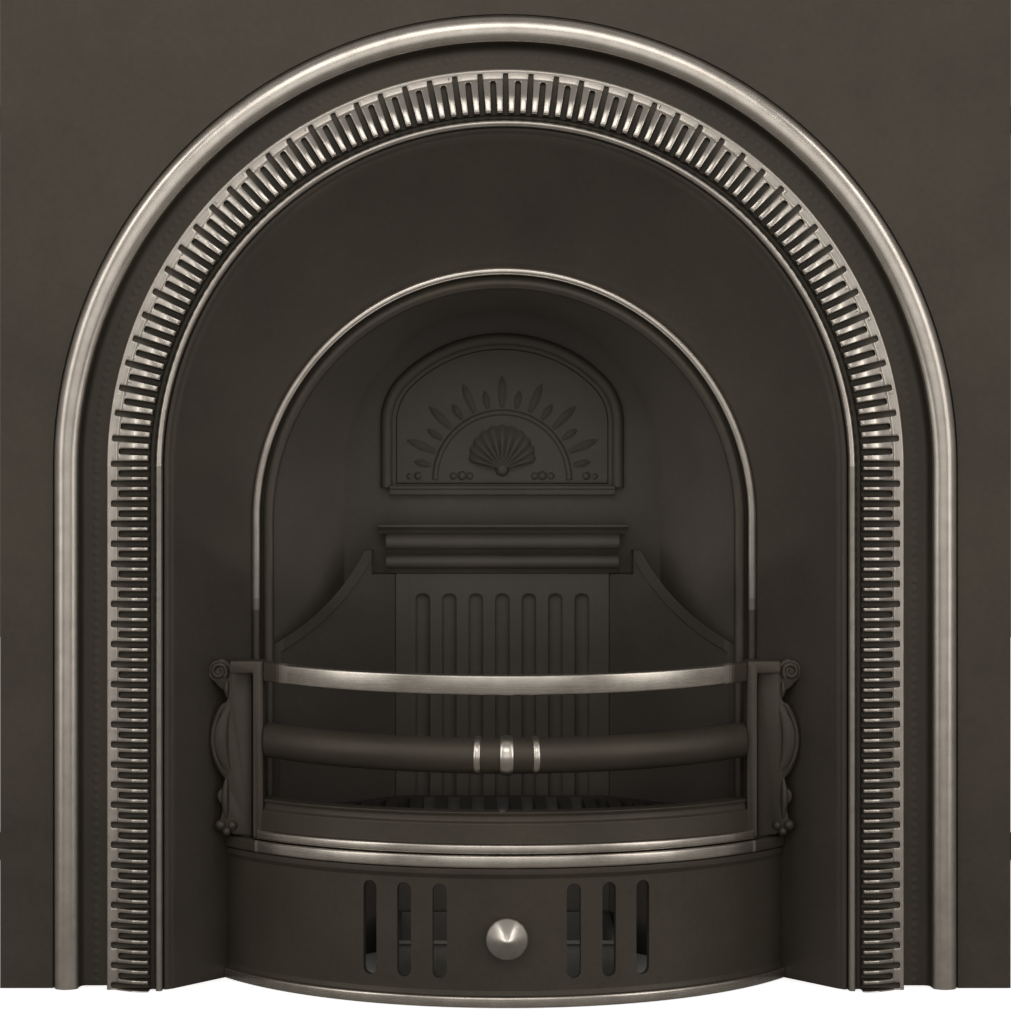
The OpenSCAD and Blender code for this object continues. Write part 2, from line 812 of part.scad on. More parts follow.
module bottom_grate() {
    pitch = 25;
    slot = 13;
    color(soot) plan_prism(grate_top_z - grate_t, grate_t) difference() {
        grate_plan(0);
        intersection() {
            grate_plan(14);
            for (i = [-8 : 8]) {
                translate([i * pitch - slot / 2, -200]) square([slot, 130]);
                translate([i * pitch - slot / 2, -56]) square([slot, 120]);
            }
        }
    }
}

// ---- fire front ----

module rail_section() {
    polygon([
        [rail_inner_r, rail_bottom_z], [rail_outer_r - 1.5, rail_bottom_z], [rail_outer_r, rail_bottom_z + 2],
        [rail_outer_r, rail_bottom_z + 6.2], [rail_outer_r - 1.5, rail_bottom_z + 8.2],
        [rail_face_r, rail_bottom_z + 8.8], [rail_face_r, rail_top_z - 18], [rail_face_r - 11, rail_top_z],
        [rail_inner_r, rail_top_z]
    ]);
}

module fire_front() {
    post_h = lug_z + lug_h - rail_bottom_z;
    tongue_front_d = bracket_front_d - bracket_t - body_gap;
    tongue_d = tongue_front_d - 5;
    tongue_h = 16;
    color(iron) difference() {
        union() {
            within(post_x + post_w - 0.6) bow_sweep(rail_angle) rail_section();
            for (side = [0, 1]) mirror([side, 0, 0]) {
                translate([post_x, face(post_front_d), rail_bottom_z]) cube([post_w, post_front_d - post_back_d, post_h]);
                translate([post_x, face(post_front_d), lug_z])
                    cube([bracket_x + bracket_w - post_x, post_front_d - tongue_d, lug_h]);
                translate([bracket_x + 2, face(tongue_front_d), lug_z - tongue_h])
                    cube([bracket_w - 4, tongue_front_d - tongue_d, tongue_h + lug_h]);
            }
        }
        bar_end_holes();
    }
}

module bar_end_holes() {
    rivet_places() translate([0, 0, -rivet_in - gap])
        cylinder(r = stud_r + gap, h = rivet_in + post_w + 2 * gap, $fn = small);
}

// Copies its children, drawn along +Z from the bar's end, to the rivets through both posts
module rivet_places() {
    for (side = [0, 1]) mirror([side, 0, 0]) {
        translate([post_x, face(middle_rivet_d), middle_bar_z + 0.8]) rotate([0, 90, 0]) children();
        translate([post_x, face(top_rivet_d), top_bar_z + top_bar_h / 2]) rotate([0, 90, 0]) children();
    }
}

// Keeps only what lies within a distance of the middle, left and right
module within(reach) {
    intersection() {
        children();
        translate([-reach, face(far / 2), 0]) cube([2 * reach, far, far]);
    }
}

module top_bar() {
    color(steel) difference() {
        within(post_x - gap) tipped(2, top_bar_z) bow_sweep(rail_angle) polygon([
            [bar_outer_r - 10, top_bar_z], [bar_outer_r - 0.8, top_bar_z], [bar_outer_r, top_bar_z + 1.5],
            [bar_outer_r, top_bar_z + top_bar_h - 1.5], [bar_outer_r - 0.8, top_bar_z + top_bar_h],
            [bar_outer_r - 10, top_bar_z + top_bar_h]
        ]);
        bar_end_holes();
    }
}

module middle_bar() {
    color(iron) difference() {
        within(post_x - gap) tipped(3, middle_bar_z) bow_sweep(rail_angle + 3)
            translate([middle_r, middle_bar_z]) circle(middle_bar_r, $fn = small);
        bar_end_holes();
    }
}

module bar_collars() {
    collar_r = middle_bar_r + 1.3;
    small_collar_x = 26.4;
    color(steel) tipped(3, middle_bar_z) difference() {
        for (place = [[0, 11.4], [-small_collar_x, 7], [small_collar_x, 7]]) {
            a = asin(place[0] / middle_r);
            translate([middle_r * sin(a), face(bow_d + middle_r * cos(a)), middle_bar_z]) rotate([0, 90, a])
                cylinder(r = collar_r, h = place[1], center = true, $fn = small);
        }
        bow_sweep(8) translate([middle_r, middle_bar_z]) circle(middle_bar_r + 0.05, $fn = small);
    }
}

module bar_rivets() {
    color(iron) rivet_places() translate([0, 0, -rivet_in])
        cylinder(r = stud_r, h = post_w + rivet_in, $fn = small);
}

// ---- brackets ----

module bracket_bolt_places() {
    for (side = [-1, 1], z = [218, 250]) translate([side * 276, 0, z]) children();
}

// Outline of the right bracket, drawn as (x, z): band, wing, ear and stem
module bracket_outline() {
    wing_r = 55.7;
    wing_z = 234;
    wing_out_x = 286.5;
    difference() {
        union() {
            translate([bracket_x, bracket_low_z]) square([bracket_w, lug_z - body_gap - bracket_low_z]);
            intersection() {
                translate([wing_out_x - wing_r, wing_z]) circle(wing_r, $fn = fine);
                translate([bracket_x + 8, wing_z - 60]) square([60, 120]);
            }
            translate([277.3, 300]) circle(11.3, $fn = small);
            translate([bracket_x + bracket_w - 4, 286]) square([14, 8]);
            translate([270.5, 179]) circle(8.5, $fn = small);
            polygon([[263, 181], [277, 181], [273.5, 168], [276, 157], [275, 149], [266, 149], [263, 157]]);
        }
        translate([-1, lug_z - body_gap]) square([bracket_x + bracket_w + 0.7 + 1, 20]);
    }
}

module right_bracket() {
    ball_d = bracket_front_d - 3;
    color(iron) difference() {
        union() {
            slab(bracket_front_d, bracket_t) bracket_outline();
            translate([275.8, face(ball_d), 151]) sphere(r = 5.2, $fn = small);
            translate([264.5, face(ball_d), 151]) sphere(r = 5.2, $fn = small);
            translate([270, face(ball_d), 145.5]) sphere(r = 4.6, $fn = small);
        }
        splay_space(body_gap);
        bracket_bolt_places() rod(bolt_r + gap, bracket_front_d - 3, 60);
        translate([-far, -far / 2, 0]) cube([far, far, far]);
    }
}

module left_bracket() {
    mirror([1, 0, 0]) right_bracket();
}

module bracket_bolts() {
    color(iron) bracket_bolt_places() {
        rod(bolt_r, bracket_front_d - 3.5, 23);
        rod(bolt_head_r, bracket_front_d - 24, bolt_head_h, 6);
    }
}

// ---- ash pan cover ----

module cover_section() {
    rim_low_z = cover_h - 11.5;
    polygon([
        [cover_inner_r, 0], [bow_r - 1.5, 0], [bow_r, 1.5], [bow_r, 8], [bow_r - 1.5, 9.6],
        [cover_face_r + 1, 11], [cover_face_r, 15], [cover_face_r, rim_low_z - 9.5],
        [cover_face_r + 1.8, rim_low_z - 6.5], [cover_face_r + 1.8, rim_low_z - 1], [cover_face_r, rim_low_z - 0.8],
        [cover_face_r, rim_low_z], [bow_r - 2.5, rim_low_z], [bow_r - 1, rim_low_z + 1.8],
        [bow_r - 1, cover_h - 1.8], [bow_r - 2.5, cover_h], [cover_inner_r, cover_h]
    ]);
}

// A draught slot with round ends, cut along the bow's radius
module slot_cutter(angle) {
    slot_low_z = 25.5;
    slot_high_z = 113;
    r = slot_w / 2;
    translate([0, face(bow_d), 0]) rotate([0, 0, angle]) translate([0, -bow_r - 10, 0]) {
        translate([-r, 0, slot_low_z + r]) cube([slot_w, 40, slot_high_z - slot_low_z - slot_w]);
        for (z = [slot_low_z + r, slot_high_z - r]) translate([0, 0, z]) rotate([-90, 0, 0])
            cylinder(r = r, h = 40, $fn = small);
    }
}

module ash_pan_cover() {
    first_slot_angle = 10.7;
    slot_pitch = 5.85;
    color(iron) difference() {
        bow_sweep(56) cover_section();
        splay_space(1);
        for (i = [0 : 2], side = [-1, 1]) slot_cutter(side * (first_slot_angle + i * slot_pitch));
        translate([0, 0, knob_z]) rod(stud_r + gap, bow_reach + 2, 20);
    }
}

module cover_knob() {
    seat_d = bow_d + cover_face_r + 0.05;
    color(steel) difference() {
        translate([0, face(seat_d), knob_z]) rotate([90, 0, 0]) rotate_extrude($fn = fine) polygon([
            [0, 0], [7, 0], [7, 6], [knob_r - 2, 8], [knob_r, 10], [knob_r, 12.5], [knob_r - 0.8, 13.6],
            [0, front_reach - seat_d]
        ]);
        translate([0, 0, knob_z]) rod(stud_r + gap, 99, 20);
    }
}

module knob_stud() {
    color(steel) translate([0, 0, knob_z]) rod(stud_r, 98.5, 28);
}

module knob_nut() {
    color(steel) translate([0, 0, knob_z]) nut(bow_d + cover_inner_r - 0.2, stud_r);
}

// ---- ash pan ----

module ash_pan() {
    half_w = 106;
    length = 160;
    height = 40;
    sheet = 1.6;
    lip = 4;
    color(soot) translate([0, face(pan_front_d), body_gap]) {
        difference() {
            translate([-half_w, 0, 0]) cube([2 * half_w, length, height]);
            translate([sheet - half_w, sheet, sheet]) cube([2 * (half_w - sheet), length - 2 * sheet, height]);
        }
        difference() {
            translate([-half_w - lip, -lip, height - 3]) cube([2 * (half_w + lip), length + 2 * lip, 3]);
            translate([-half_w, 0, height - 4]) cube([2 * half_w, length, 5]);
        }
    }
}

module pan_handle() {
    grip_r = 15;
    wire_r = 2.5;
    stand_off = 9;
    color(soot) translate([0, face(pan_front_d), 24]) {
        translate([0, -stand_off, 0]) rotate([-90, 0, 0]) rotate_extrude(angle = 180, $fn = small)
            translate([grip_r, 0]) circle(wire_r, $fn = small);
        for (x = [-grip_r, grip_r]) translate([x, -stand_off, 0]) {
            sphere(r = wire_r, $fn = small);
            rotate([-90, 0, 0]) cylinder(r = wire_r, h = stand_off, $fn = small);
        }
    }
}

front_plate();
arch_frame();
fluted_crown();
left_fluted_leg();
right_fluted_leg();
splay_arch();
inner_arch_ring();
throat_shell();
upper_fireback();
lower_fireback();
cornice_shelf();
left_cheek();
right_cheek();
register_door();
shell_ornament();
hinge_pins();
left_bracket();
right_bracket();
bracket_bolts();
fire_front();
top_bar();
middle_bar();
bar_collars();
bar_rivets();
bottom_grate();
grate_carrier();
ash_pan_cover();
cover_knob();
knob_stud();
knob_nut();
ash_pan();
pan_handle();
frame_studs();
frame_nuts();
moulding_studs();
moulding_nuts();
throat_bolts();
throat_nuts();
fireback_bolts();
fireback_nuts();
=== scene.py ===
import math
import bpy
import bmesh
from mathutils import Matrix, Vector


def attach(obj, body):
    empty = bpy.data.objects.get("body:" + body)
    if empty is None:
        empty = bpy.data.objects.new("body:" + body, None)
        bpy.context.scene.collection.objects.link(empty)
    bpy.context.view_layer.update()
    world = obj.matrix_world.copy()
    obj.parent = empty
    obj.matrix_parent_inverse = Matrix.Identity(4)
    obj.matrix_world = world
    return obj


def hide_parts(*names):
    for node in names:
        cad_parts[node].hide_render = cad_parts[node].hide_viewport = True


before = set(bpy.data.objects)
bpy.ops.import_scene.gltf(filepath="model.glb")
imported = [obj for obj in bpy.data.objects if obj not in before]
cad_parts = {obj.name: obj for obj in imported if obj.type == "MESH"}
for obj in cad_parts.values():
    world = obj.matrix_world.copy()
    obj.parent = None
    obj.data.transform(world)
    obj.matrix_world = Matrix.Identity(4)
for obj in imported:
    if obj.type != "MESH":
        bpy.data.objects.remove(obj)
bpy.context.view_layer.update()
print("frame loaded,", len(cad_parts), "CAD nodes")

# Sections are written in millimetres, as in the CAD; d is the distance in front of the plate's face.
mm = 0.001
faceY = -0.061
scene = bpy.context.scene


def sinD(a):
    return math.sin(math.radians(a))


def cosD(a):
    return math.cos(math.radians(a))


def place(x, d, z):
    return (x * mm, faceY - d * mm, z * mm)


def blend(a, b, t):
    return a + (b - a) * t


def share(v, low, high):
    # 0 at low, 1 at high, and level beyond them
    return min(max((v - low) / (high - low), 0.0), 1.0)


def valueAt(line, r):
    # line: (radius, value), from the outside in
    for (r0, h0), (r1, h1) in zip(line, line[1:]):
        if r1 <= r <= r0:
            return h0 + (h1 - h0) * (r0 - r) / (r0 - r1)
    return line[0][1] if r > line[0][0] else line[-1][1]


# mesh helpers

joinDist = 2e-6


def linked(name, data):
    obj = bpy.data.objects.new(name, data)
    scene.collection.objects.link(obj)
    return obj


def asObject(bm, name):
    mesh = bpy.data.meshes.new(name)
    bm.to_mesh(mesh)
    bm.free()
    return linked(name, mesh)


def shadeMesh(mesh, sharpAngle):
    mesh.shade_smooth()
    mesh.set_sharp_from_angle(angle=math.radians(sharpAngle))


def finishMesh(bm, name, sharpAngle):
    bmesh.ops.remove_doubles(bm, verts=bm.verts, dist=joinDist)
    bmesh.ops.recalc_face_normals(bm, faces=bm.faces)
    obj = asObject(bm, name)
    shadeMesh(obj.data, sharpAngle)
    return obj


def addParts(bm, parts):
    # parts: a list of (verts, faces), each a closed shell
    for verts, faces in parts:
        made = [bm.verts.new(v) for v in verts]
        for f in faces:
            bm.faces.new([made[i] for i in f])


def meshObject(name, parts, sharpAngle=35):
    bm = bmesh.new()
    addParts(bm, parts)
    return finishMesh(bm, name, sharpAngle)


def loft(rings):
    # closed shell from rings of equal length, with a cap at each end
    n = len(rings[0])
    verts = [v for ring in rings for v in ring]
    faces = []
    for i in range(len(rings) - 1):
        for j in range(n):
            k = (j + 1) % n
            faces.append((i * n + j, i * n + k, (i + 1) * n + k, (i + 1) * n + j))
    faces.append(tuple(range(n)))
    faces.append(tuple((len(rings) - 1) * n + j for j in reversed(range(n))))
    return verts, faces


def arc(cx, cy, r, start, end, steps):
    return [(cx + r * cosD(start + (end - start) * i / steps),
             cy + r * sinD(start + (end - start) * i / steps)) for i in range(steps + 1)]


def rounded(corners, steps=4):
    # corners: (x, y, radius); a closed outline with each corner replaced by an arc
    out = []
    n = len(corners)
    for i, (x, y, r) in enumerate(corners):
        if r <= 0:
            out.append((x, y))
            continue
        p = Vector((x, y))
        a = Vector(corners[i - 1][:2]) - p
        b = Vector(corners[(i + 1) % n][:2]) - p
        la, lb = a.length, b.length
        a.normalize()
        b.normalize()
        half = a.angle(b) / 2
        cut = min(r / math.tan(half), la * 0.48, lb * 0.48)
        radius = cut * math.tan(half)
        middle = p + (a + b).normalized() * (radius / math.sin(half))
        start, end = p + a * cut - middle, p + b * cut - middle
        total = start.angle(end)
        turn = 1 if start.x * end.y - start.y * end.x > 0 else -1
        first = math.atan2(start.y, start.x)
        for s in range(steps + 1):
            t = first + turn * total * s / steps
            out.append((middle.x + radius * math.cos(t), middle.y + radius * math.sin(t)))
    return out


def archRings(profile, crownSteps, legRows):
    # profile: (radius, d, height where that arch springs); legs stand on the hearth
    rings = []
    for side, order in ((1, range(legRows)), (0, ()), (-1, range(legRows - 1, -1, -1))):
        if side == 0:
            for i in range(crownSteps + 1):
                a = 180 * i / crownSteps
                rings.append([place(r * cosD(a), d, s + r * sinD(a)) for r, d, s in profile])
        for i in order:
            rings.append([place(side * r, d, s * i / legRows) for r, d, s in profile])
    return rings


def sweepArch(name, profile, crownSteps, legRows):
    return meshObject(name, [loft(archRings(profile, crownSteps, legRows))])


def tangents(points, closed=False):
    # the direction of a path of (x, z) at each of its points
    n = len(points)
    found = []
    for i in range(n):
        around = (i - 1, (i + 1) % n) if closed else (max(i - 1, 0), min(i + 1, n - 1))
        (x0, z0), (x1, z1) = [points[k] for k in around]
        found.append(Vector((x1 - x0, z1 - z0)).normalized())
    return found


def prism(outline, toFront, toBack):
    # outline in (x, z); a plate between two depths
    return loft([[place(x, d, z) for x, z in outline] for d in (toFront, toBack)])


def slab(x0, x1, z0, z1, toFront, toBack):
    return prism([(x0, z0), (x1, z0), (x1, z1), (x0, z1)], toFront, toBack)


def lathe(profile, centre, axis, steps):
    # profile: (radius, distance along the axis) in mm, from one end of the axis to the other
    axis = Vector(axis).normalized()
    side = axis.orthogonal().normalized()
    up = axis.cross(side)
    c = Vector(centre)
    angles = [360 * i / steps for i in range(steps)]
    return loft([[tuple(c + axis * h * mm + (side * cosD(a) + up * sinD(a)) * r * mm) for a in angles]
                 for r, h in profile])


def dome(centre, r, axis=(0, -1, 0), steps=24, rings=8, sink=0.3):
    # a ball cut a little below its middle
    low = -90 * sink
    profile = [(r * cosD(a), r * sinD(a)) for a in [low + (90 - low) * j / rings for j in range(rings)]]
    return lathe(profile + [(r * 0.04, r)], centre, axis, steps)


def mirrored(part):
    verts, faces = part
    return [(-x, y, z) for x, y, z in verts], [tuple(reversed(f)) for f in faces]


def polishFaces(obj, test):
    # keeps, for each face, how far it is polished: 0 blacked, 1 bright
    mesh = obj.data
    layer = mesh.attributes.get("polish") or mesh.attributes.new("polish", "FLOAT", "FACE")
    for face in mesh.polygons:
        c = face.center
        layer.data[face.index].value = float(test(c.x / mm, (faceY - c.y) / mm, c.z / mm))


def archRadius(x, z, spring):
    return math.hypot(x, max(z - spring, 0.0))


# the crown's castings are a little wider than the legs': how far each radius drops at the top
crownDrop = [(452, 0), (424, 0), (410, 3.5), (396, 3.0), (380, 1.0), (377, 1.2), (366, 1.6), (352, 3.2), (341, 4.2),
             (337, 4.0), (333.5, 3.2), (325, 3.1), (319, 2.3), (300, 0)]


def coat(obj, material):
    obj.data.materials.clear()
    obj.data.materials.append(material)


def dress(obj, material, body, slot, *nodes):
    coat(obj, material)
    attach(obj, body)
    if nodes:
        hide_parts(*nodes)


# node helpers

def feed(tree, socket, value):
    # a socket takes another node's output, or a plain value
    if isinstance(value, bpy.types.NodeSocket):
        tree.links.new(value, socket)
    else:
        socket.default_value = (*value, 1) if socket.type == "RGBA" else value


def addNode(tree, kind, inputs=(), **settings):
    node = tree.nodes.new(kind)
    for name, value in settings.items():
        setattr(node, name, value)
    for key, value in dict(inputs).items():
        feed(tree, node.inputs[key], value)
    return node


def newSocket(tree, name, kind, isInput=True, value=None):
    socket = tree.interface.new_socket(name=name, in_out="INPUT" if isInput else "OUTPUT",
                                       socket_type="NodeSocket" + kind)
    if value is not None:
        socket.default_value = value


# geometry nodes

def repeatTree():
    # one cell repeated along a line, or turned step by step about the Y axis through its origin
    tree = bpy.data.node_groups.new("repeatCell", "GeometryNodeTree")
    for name, kind, value in (("Cell", "Geometry", None), ("Count", "Int", 8), ("Turn", "Float", 0.0),
                              ("Step", "Vector", None), ("Start", "Vector", None),
                              ("Join distance", "Float", 1e-5), ("Finish", "Material", None)):
        newSocket(tree, name, kind, value=value)
    newSocket(tree, "Pieces", "Geometry", isInput=False)
    given = addNode(tree, "NodeGroupInput").outputs
    line = addNode(tree, "GeometryNodeMeshLine", {"Count": given["Count"], "Start Location": given["Start"],
                                                  "Offset": given["Step"]})
    index = addNode(tree, "GeometryNodeInputIndex").outputs[0]
    turned = addNode(tree, "ShaderNodeMath", {0: index, 1: given["Turn"]}, operation="MULTIPLY")
    angles = addNode(tree, "ShaderNodeCombineXYZ", {"Y": turned.outputs[0]})
    copies = addNode(tree, "GeometryNodeInstanceOnPoints", {"Points": line.outputs["Mesh"], "Instance": given["Cell"],
                                                            "Rotation": angles.outputs[0]})
    real = addNode(tree, "GeometryNodeRealizeInstances", {"Geometry": copies.outputs["Instances"]})
    merged = addNode(tree, "GeometryNodeMergeByDistance", {"Geometry": real.outputs["Geometry"],
                                                           "Distance": given["Join distance"]})
    finish = addNode(tree, "GeometryNodeSetMaterial", {"Geometry": merged.outputs["Geometry"],
                                                       "Material": given["Finish"]})
    addNode(tree, "NodeGroupOutput", {"Pieces": finish.outputs["Geometry"]})
    return tree


repeatCell = repeatTree()


def baked(obj, modifier):
    # what the modifier makes of the object, as a plain mesh
    graph = bpy.context.evaluated_depsgraph_get()
    mesh = bpy.data.meshes.new_from_object(obj.evaluated_get(graph))
    obj.modifiers.remove(modifier)
    return mesh


def repeated(cell, material, count, turn=0.0, step=(0, 0, 0), start=(0, 0, 0)):
    # returns the repeated cell as a plain mesh; the cell object goes
    modifier = cell.modifiers.new("repeat", "NODES")
    modifier.node_group = repeatCell
    values = {"Count": count, "Turn": -math.radians(turn), "Step": step, "Start": start, "Finish": material}
    for item in repeatCell.interface.items_tree:
        if item.in_out == "INPUT" and item.name in values:
            modifier[item.identifier] = values[item.name]
    mesh = baked(cell, modifier)
    bpy.data.objects.remove(cell)
    return mesh


def joined(name, meshes, sharpAngle, clips=()):
    # clips: planes as (point, outward normal); what lies beyond them goes, and the cut is closed
    bm = bmesh.new()
    for mesh in meshes:
        bm.from_mesh(mesh)
    for point, normal in clips:
        bmesh.ops.remove_doubles(bm, verts=bm.verts, dist=joinDist)
        everything = bm.verts[:] + bm.edges[:] + bm.faces[:]
        bmesh.ops.bisect_plane(bm, geom=everything, dist=1e-7, plane_co=point, plane_no=normal, clear_outer=True)
        bmesh.ops.holes_fill(bm, edges=[e for e in bm.edges if e.is_boundary], sides=0)
    return finishMesh(bm, name, sharpAngle)


# materials

def mathNode(tree, operation, a, b=None, clamp=False):
    inputs = {0: a} if b is None else {0: a, 1: b}
    return addNode(tree, "ShaderNodeMath", inputs, operation=operation, use_clamp=clamp).outputs[0]


def plus(tree, a, b):
    return mathNode(tree, "ADD", a, b)


def minus(tree, a, b):
    return mathNode(tree, "SUBTRACT", a, b)


def times(tree, a, b, clamp=False):
    return mathNode(tree, "MULTIPLY", a, b, clamp)


def noiseNode(tree, vector, scale, detail, roughness=0.55):
    inputs = {"Vector": vector, "Scale": scale, "Detail": detail, "Roughness": roughness}
    return addNode(tree, "ShaderNodeTexNoise", inputs).outputs["Fac"]


def rampNode(tree, factor, stops):
    # stops: two of (position, colour)
    node = addNode(tree, "ShaderNodeValToRGB", {0: factor})
    for element, (position, colour) in zip(node.color_ramp.elements, stops):
        element.position, element.color = position, (*colour, 1)
    return node.outputs["Color"]


def mixNode(tree, factor, a, b, kind="RGBA"):
    node = addNode(tree, "ShaderNodeMix", data_type=kind)
    for socket, value in zip([s for s in node.inputs if s.enabled], (factor, a, b)):
        feed(tree, socket, value)
    return [s for s in node.outputs if s.enabled][0]


def shaderGroup(name, inputs, build):
    # build returns what each output is fed with
    tree = bpy.data.node_groups.new(name, "ShaderNodeTree")
    for label, (kind, value) in inputs.items():
        newSocket(tree, label, kind, value=value)
    made = build(tree, addNode(tree, "NodeGroupInput").outputs)
    for label in made:
        newSocket(tree, label, "Float", isInput=False)
    addNode(tree, "NodeGroupOutput", made)
    return tree


def castGrainMasks(tree, given):
    # height of the sand-cast skin, slow mottling, and dust that settles on upward faces
    fine = noiseNode(tree, given["Vector"], 900.0, 2.0)
    coarse = noiseNode(tree, given["Vector"], 190.0, 3.0)
    slow = noiseNode(tree, given["Vector"], 9.0, 4.0, 0.6)
    up = addNode(tree, "ShaderNodeSeparateXYZ", {0: given["Normal"]}).outputs["Z"]
    flat = times(tree, minus(tree, up, 0.55), 2.2, clamp=True)
    return {"Height": plus(tree, times(tree, fine, 0.45), times(tree, coarse, 0.55)),
            "Mottle": plus(tree, times(tree, slow, 0.7), times(tree, coarse, 0.3)),
            "Dust": times(tree, flat, slow, clamp=True)}


def brushingMasks(tree, given):
    # fine polishing lines that run along an arch, or level along a bowed bar where Bowed is 1
    x, y, z = addNode(tree, "ShaderNodeSeparateXYZ", {0: given["Vector"]}).outputs
    above = mathNode(tree, "MAXIMUM", minus(tree, z, given["Spring"]), 0.0)
    squares = plus(tree, mathNode(tree, "POWER", x, 2.0), mathNode(tree, "POWER", above, 2.0))
    arched = minus(tree, 1.0, given["Bowed"])
    across = mixNode(tree, given["Bowed"], mathNode(tree, "SQRT", squares), z, "FLOAT")
    lines = {"X": times(tree, across, given["Across"]),
             "Y": times(tree, times(tree, y, arched), given["Across"]),
             "Z": times(tree, plus(tree, times(tree, z, arched), x), given["Along"])}
    lines = addNode(tree, "ShaderNodeCombineXYZ", lines).outputs[0]
    return {"Lines": noiseNode(tree, lines, 1.0, 2.0), "Tarnish": noiseNode(tree, given["Vector"], 45.0, 4.0, 0.65)}


castGrain = shaderGroup("castGrain", {"Vector": ("Vector", None), "Normal": ("Vector", None)}, castGrainMasks)
brushing = shaderGroup("brushing", {"Vector": ("Vector", None), "Spring": ("Float", 0.498),
                                    "Across": ("Float", 1500.0), "Along": ("Float", 12.0),
                                    "Bowed": ("Float", 0.0)}, brushingMasks)


def newMaterial(name):
    material = bpy.data.materials.new(name)
    material.use_nodes = True
    return material, material.node_tree


def setShader(tree, inputs):
    for name, value in inputs.items():
        feed(tree, tree.nodes["Principled BSDF"].inputs[name], value)


dustColour = (0.16, 0.145, 0.125)


def ironMaterial(name, look):
    # blacked cast iron, with bright polished iron wherever the piece's faces say so
    material, tree = newMaterial(name)
    onPiece = addNode(tree, "ShaderNodeTexCoord").outputs["Object"]
    normal = addNode(tree, "ShaderNodeNewGeometry").outputs["Normal"]
    grain = addNode(tree, "ShaderNodeGroup", {"Vector": onPiece, "Normal": normal}, node_tree=castGrain).outputs
    colour = rampNode(tree, grain["Mottle"], [(0.3, look["dark"]), (0.7, look["light"])])
    colour = mixNode(tree, times(tree, grain["Dust"], look["dust"]), colour, dustColour)
    sway = 0.12  # how far the mottling moves the roughness
    rough = plus(tree, times(tree, grain["Mottle"], sway), look["rough"] - sway / 2)
    height, metal = grain["Height"], look.get("metal", 0.0)
    if look.get("bright"):
        brushed = addNode(tree, "ShaderNodeGroup", {"Vector": onPiece, "Spring": look["spring"],
                                                    "Across": look["across"], "Bowed": look.get("bowed", 0.0)},
                          node_tree=brushing).outputs
        allOver = look.get("all")
        mask = 1.0 if allOver else addNode(tree, "ShaderNodeAttribute", attribute_name="polish").outputs["Fac"]
        tarnish = rampNode(tree, brushed["Tarnish"], [(0.32, look["tarnished"]), (0.62, look["bright"])])
        streak = times(tree, minus(tree, brushed["Lines"], 0.5), look["streaks"])
        height = mixNode(tree, mask, height, times(tree, brushed["Lines"], look["lineDepth"]), "FLOAT")
        colour = mixNode(tree, mask, colour, tarnish)
        rough = mixNode(tree, mask, rough, plus(tree, streak, look["brightRough"]), "FLOAT")
        metal = 1.0 if allOver else mixNode(tree, mask, metal, 1.0, "FLOAT")
    bump = addNode(tree, "ShaderNodeBump", {"Distance": look["grainDepth"], "Height": height})
    if look.get("edge"):
        soft = addNode(tree, "ShaderNodeBevel", {"Radius": look["edge"]}, samples=4)
        feed(tree, bump.inputs["Normal"], soft.outputs[0])
    setShader(tree, {"Base Color": colour, "Roughness": rough, "Metallic": metal, "Normal": bump.outputs[0],
                     "Specular IOR Level": look["specular"]})
    return material


blackLook = {"dark": (0.062, 0.053, 0.042), "light": (0.094, 0.081, 0.064), "rough": 0.46, "specular": 0.5,
             "grainDepth": 0.00016, "dust": 0.06, "metal": 0.35}
sootLook = {"dark": (0.042, 0.037, 0.032), "light": (0.066, 0.058, 0.050), "rough": 0.58, "specular": 0.40,
            "grainDepth": 0.00022, "dust": 0.12}
brightLook = {"bright": (0.80, 0.755, 0.705), "tarnished": (0.66, 0.615, 0.57), "brightRough": 0.27, "lineDepth": 0.13,
              "streaks": 0.14, "spring": 0.498, "across": 1500.0}
boltLook = {"dark": (0.10, 0.095, 0.09), "light": (0.20, 0.19, 0.18), "rough": 0.42, "specular": 0.5,
            "grainDepth": 0.00008, "dust": 0.1, "metal": 1.0, "edge": 0.0004}
sheetLook = {"dark": (0.035, 0.034, 0.032), "light": (0.060, 0.057, 0.053), "rough": 0.40, "specular": 0.5,
             "grainDepth": 0.00005, "dust": 0.3, "edge": 0.0005}

plateIron = ironMaterial("plateIron", {**blackLook, "edge": 0.0008})
blackIron = ironMaterial("blackIron", blackLook)
# the reveal's slightly lighter copy of the blacked iron is painted light in the shaded splay
revealIronPaintedLight = ironMaterial("revealIronPaintedLight", {**blackLook, "dark": (0.067, 0.058, 0.047), "light": (0.097, 0.084, 0.069)})
sootyIron = ironMaterial("sootyIron", {**sootLook, "edge": 0.0012})
# the grate's much darker copy of the sooty iron is painted shade, for the shadow below the bars
grateIronPaintedShade = ironMaterial("grateIronPaintedShade", {**sootLook, "dark": (0.018, 0.016, 0.014), "light": (0.030, 0.026, 0.023)})
# the throat's lighter copy of the sooty iron is painted light in the shaded throat
throatIronPaintedLight = ironMaterial("throatIronPaintedLight", {**sootLook, "dark": (0.080, 0.071, 0.062), "light": (0.112, 0.099, 0.087)})
mouldingIron = ironMaterial("mouldingIron", {**blackLook, **brightLook})
openingIron = ironMaterial("openingIron", {**blackLook, **brightLook, "spring": 0.4475})
barIron = ironMaterial("barIron", {**blackLook, **brightLook, "bowed": 1.0, "across": 900.0, "lineDepth": 0.15})
smoothLook = {**blackLook, **brightLook, "bowed": 1.0, "across": 300.0, "lineDepth": 0.0, "streaks": 0.02,
              "brightRough": 0.29, "bright": (0.93, 0.89, 0.84), "tarnished": (0.82, 0.78, 0.73)}
brightIron = ironMaterial("brightIron", {**smoothLook, "all": True})
knobIron = ironMaterial("knobIron", smoothLook)
darkSteel = ironMaterial("darkSteel", boltLook)
sheetSteel = ironMaterial("sheetSteel", sheetLook)
print("materials made")

# arch mouldings

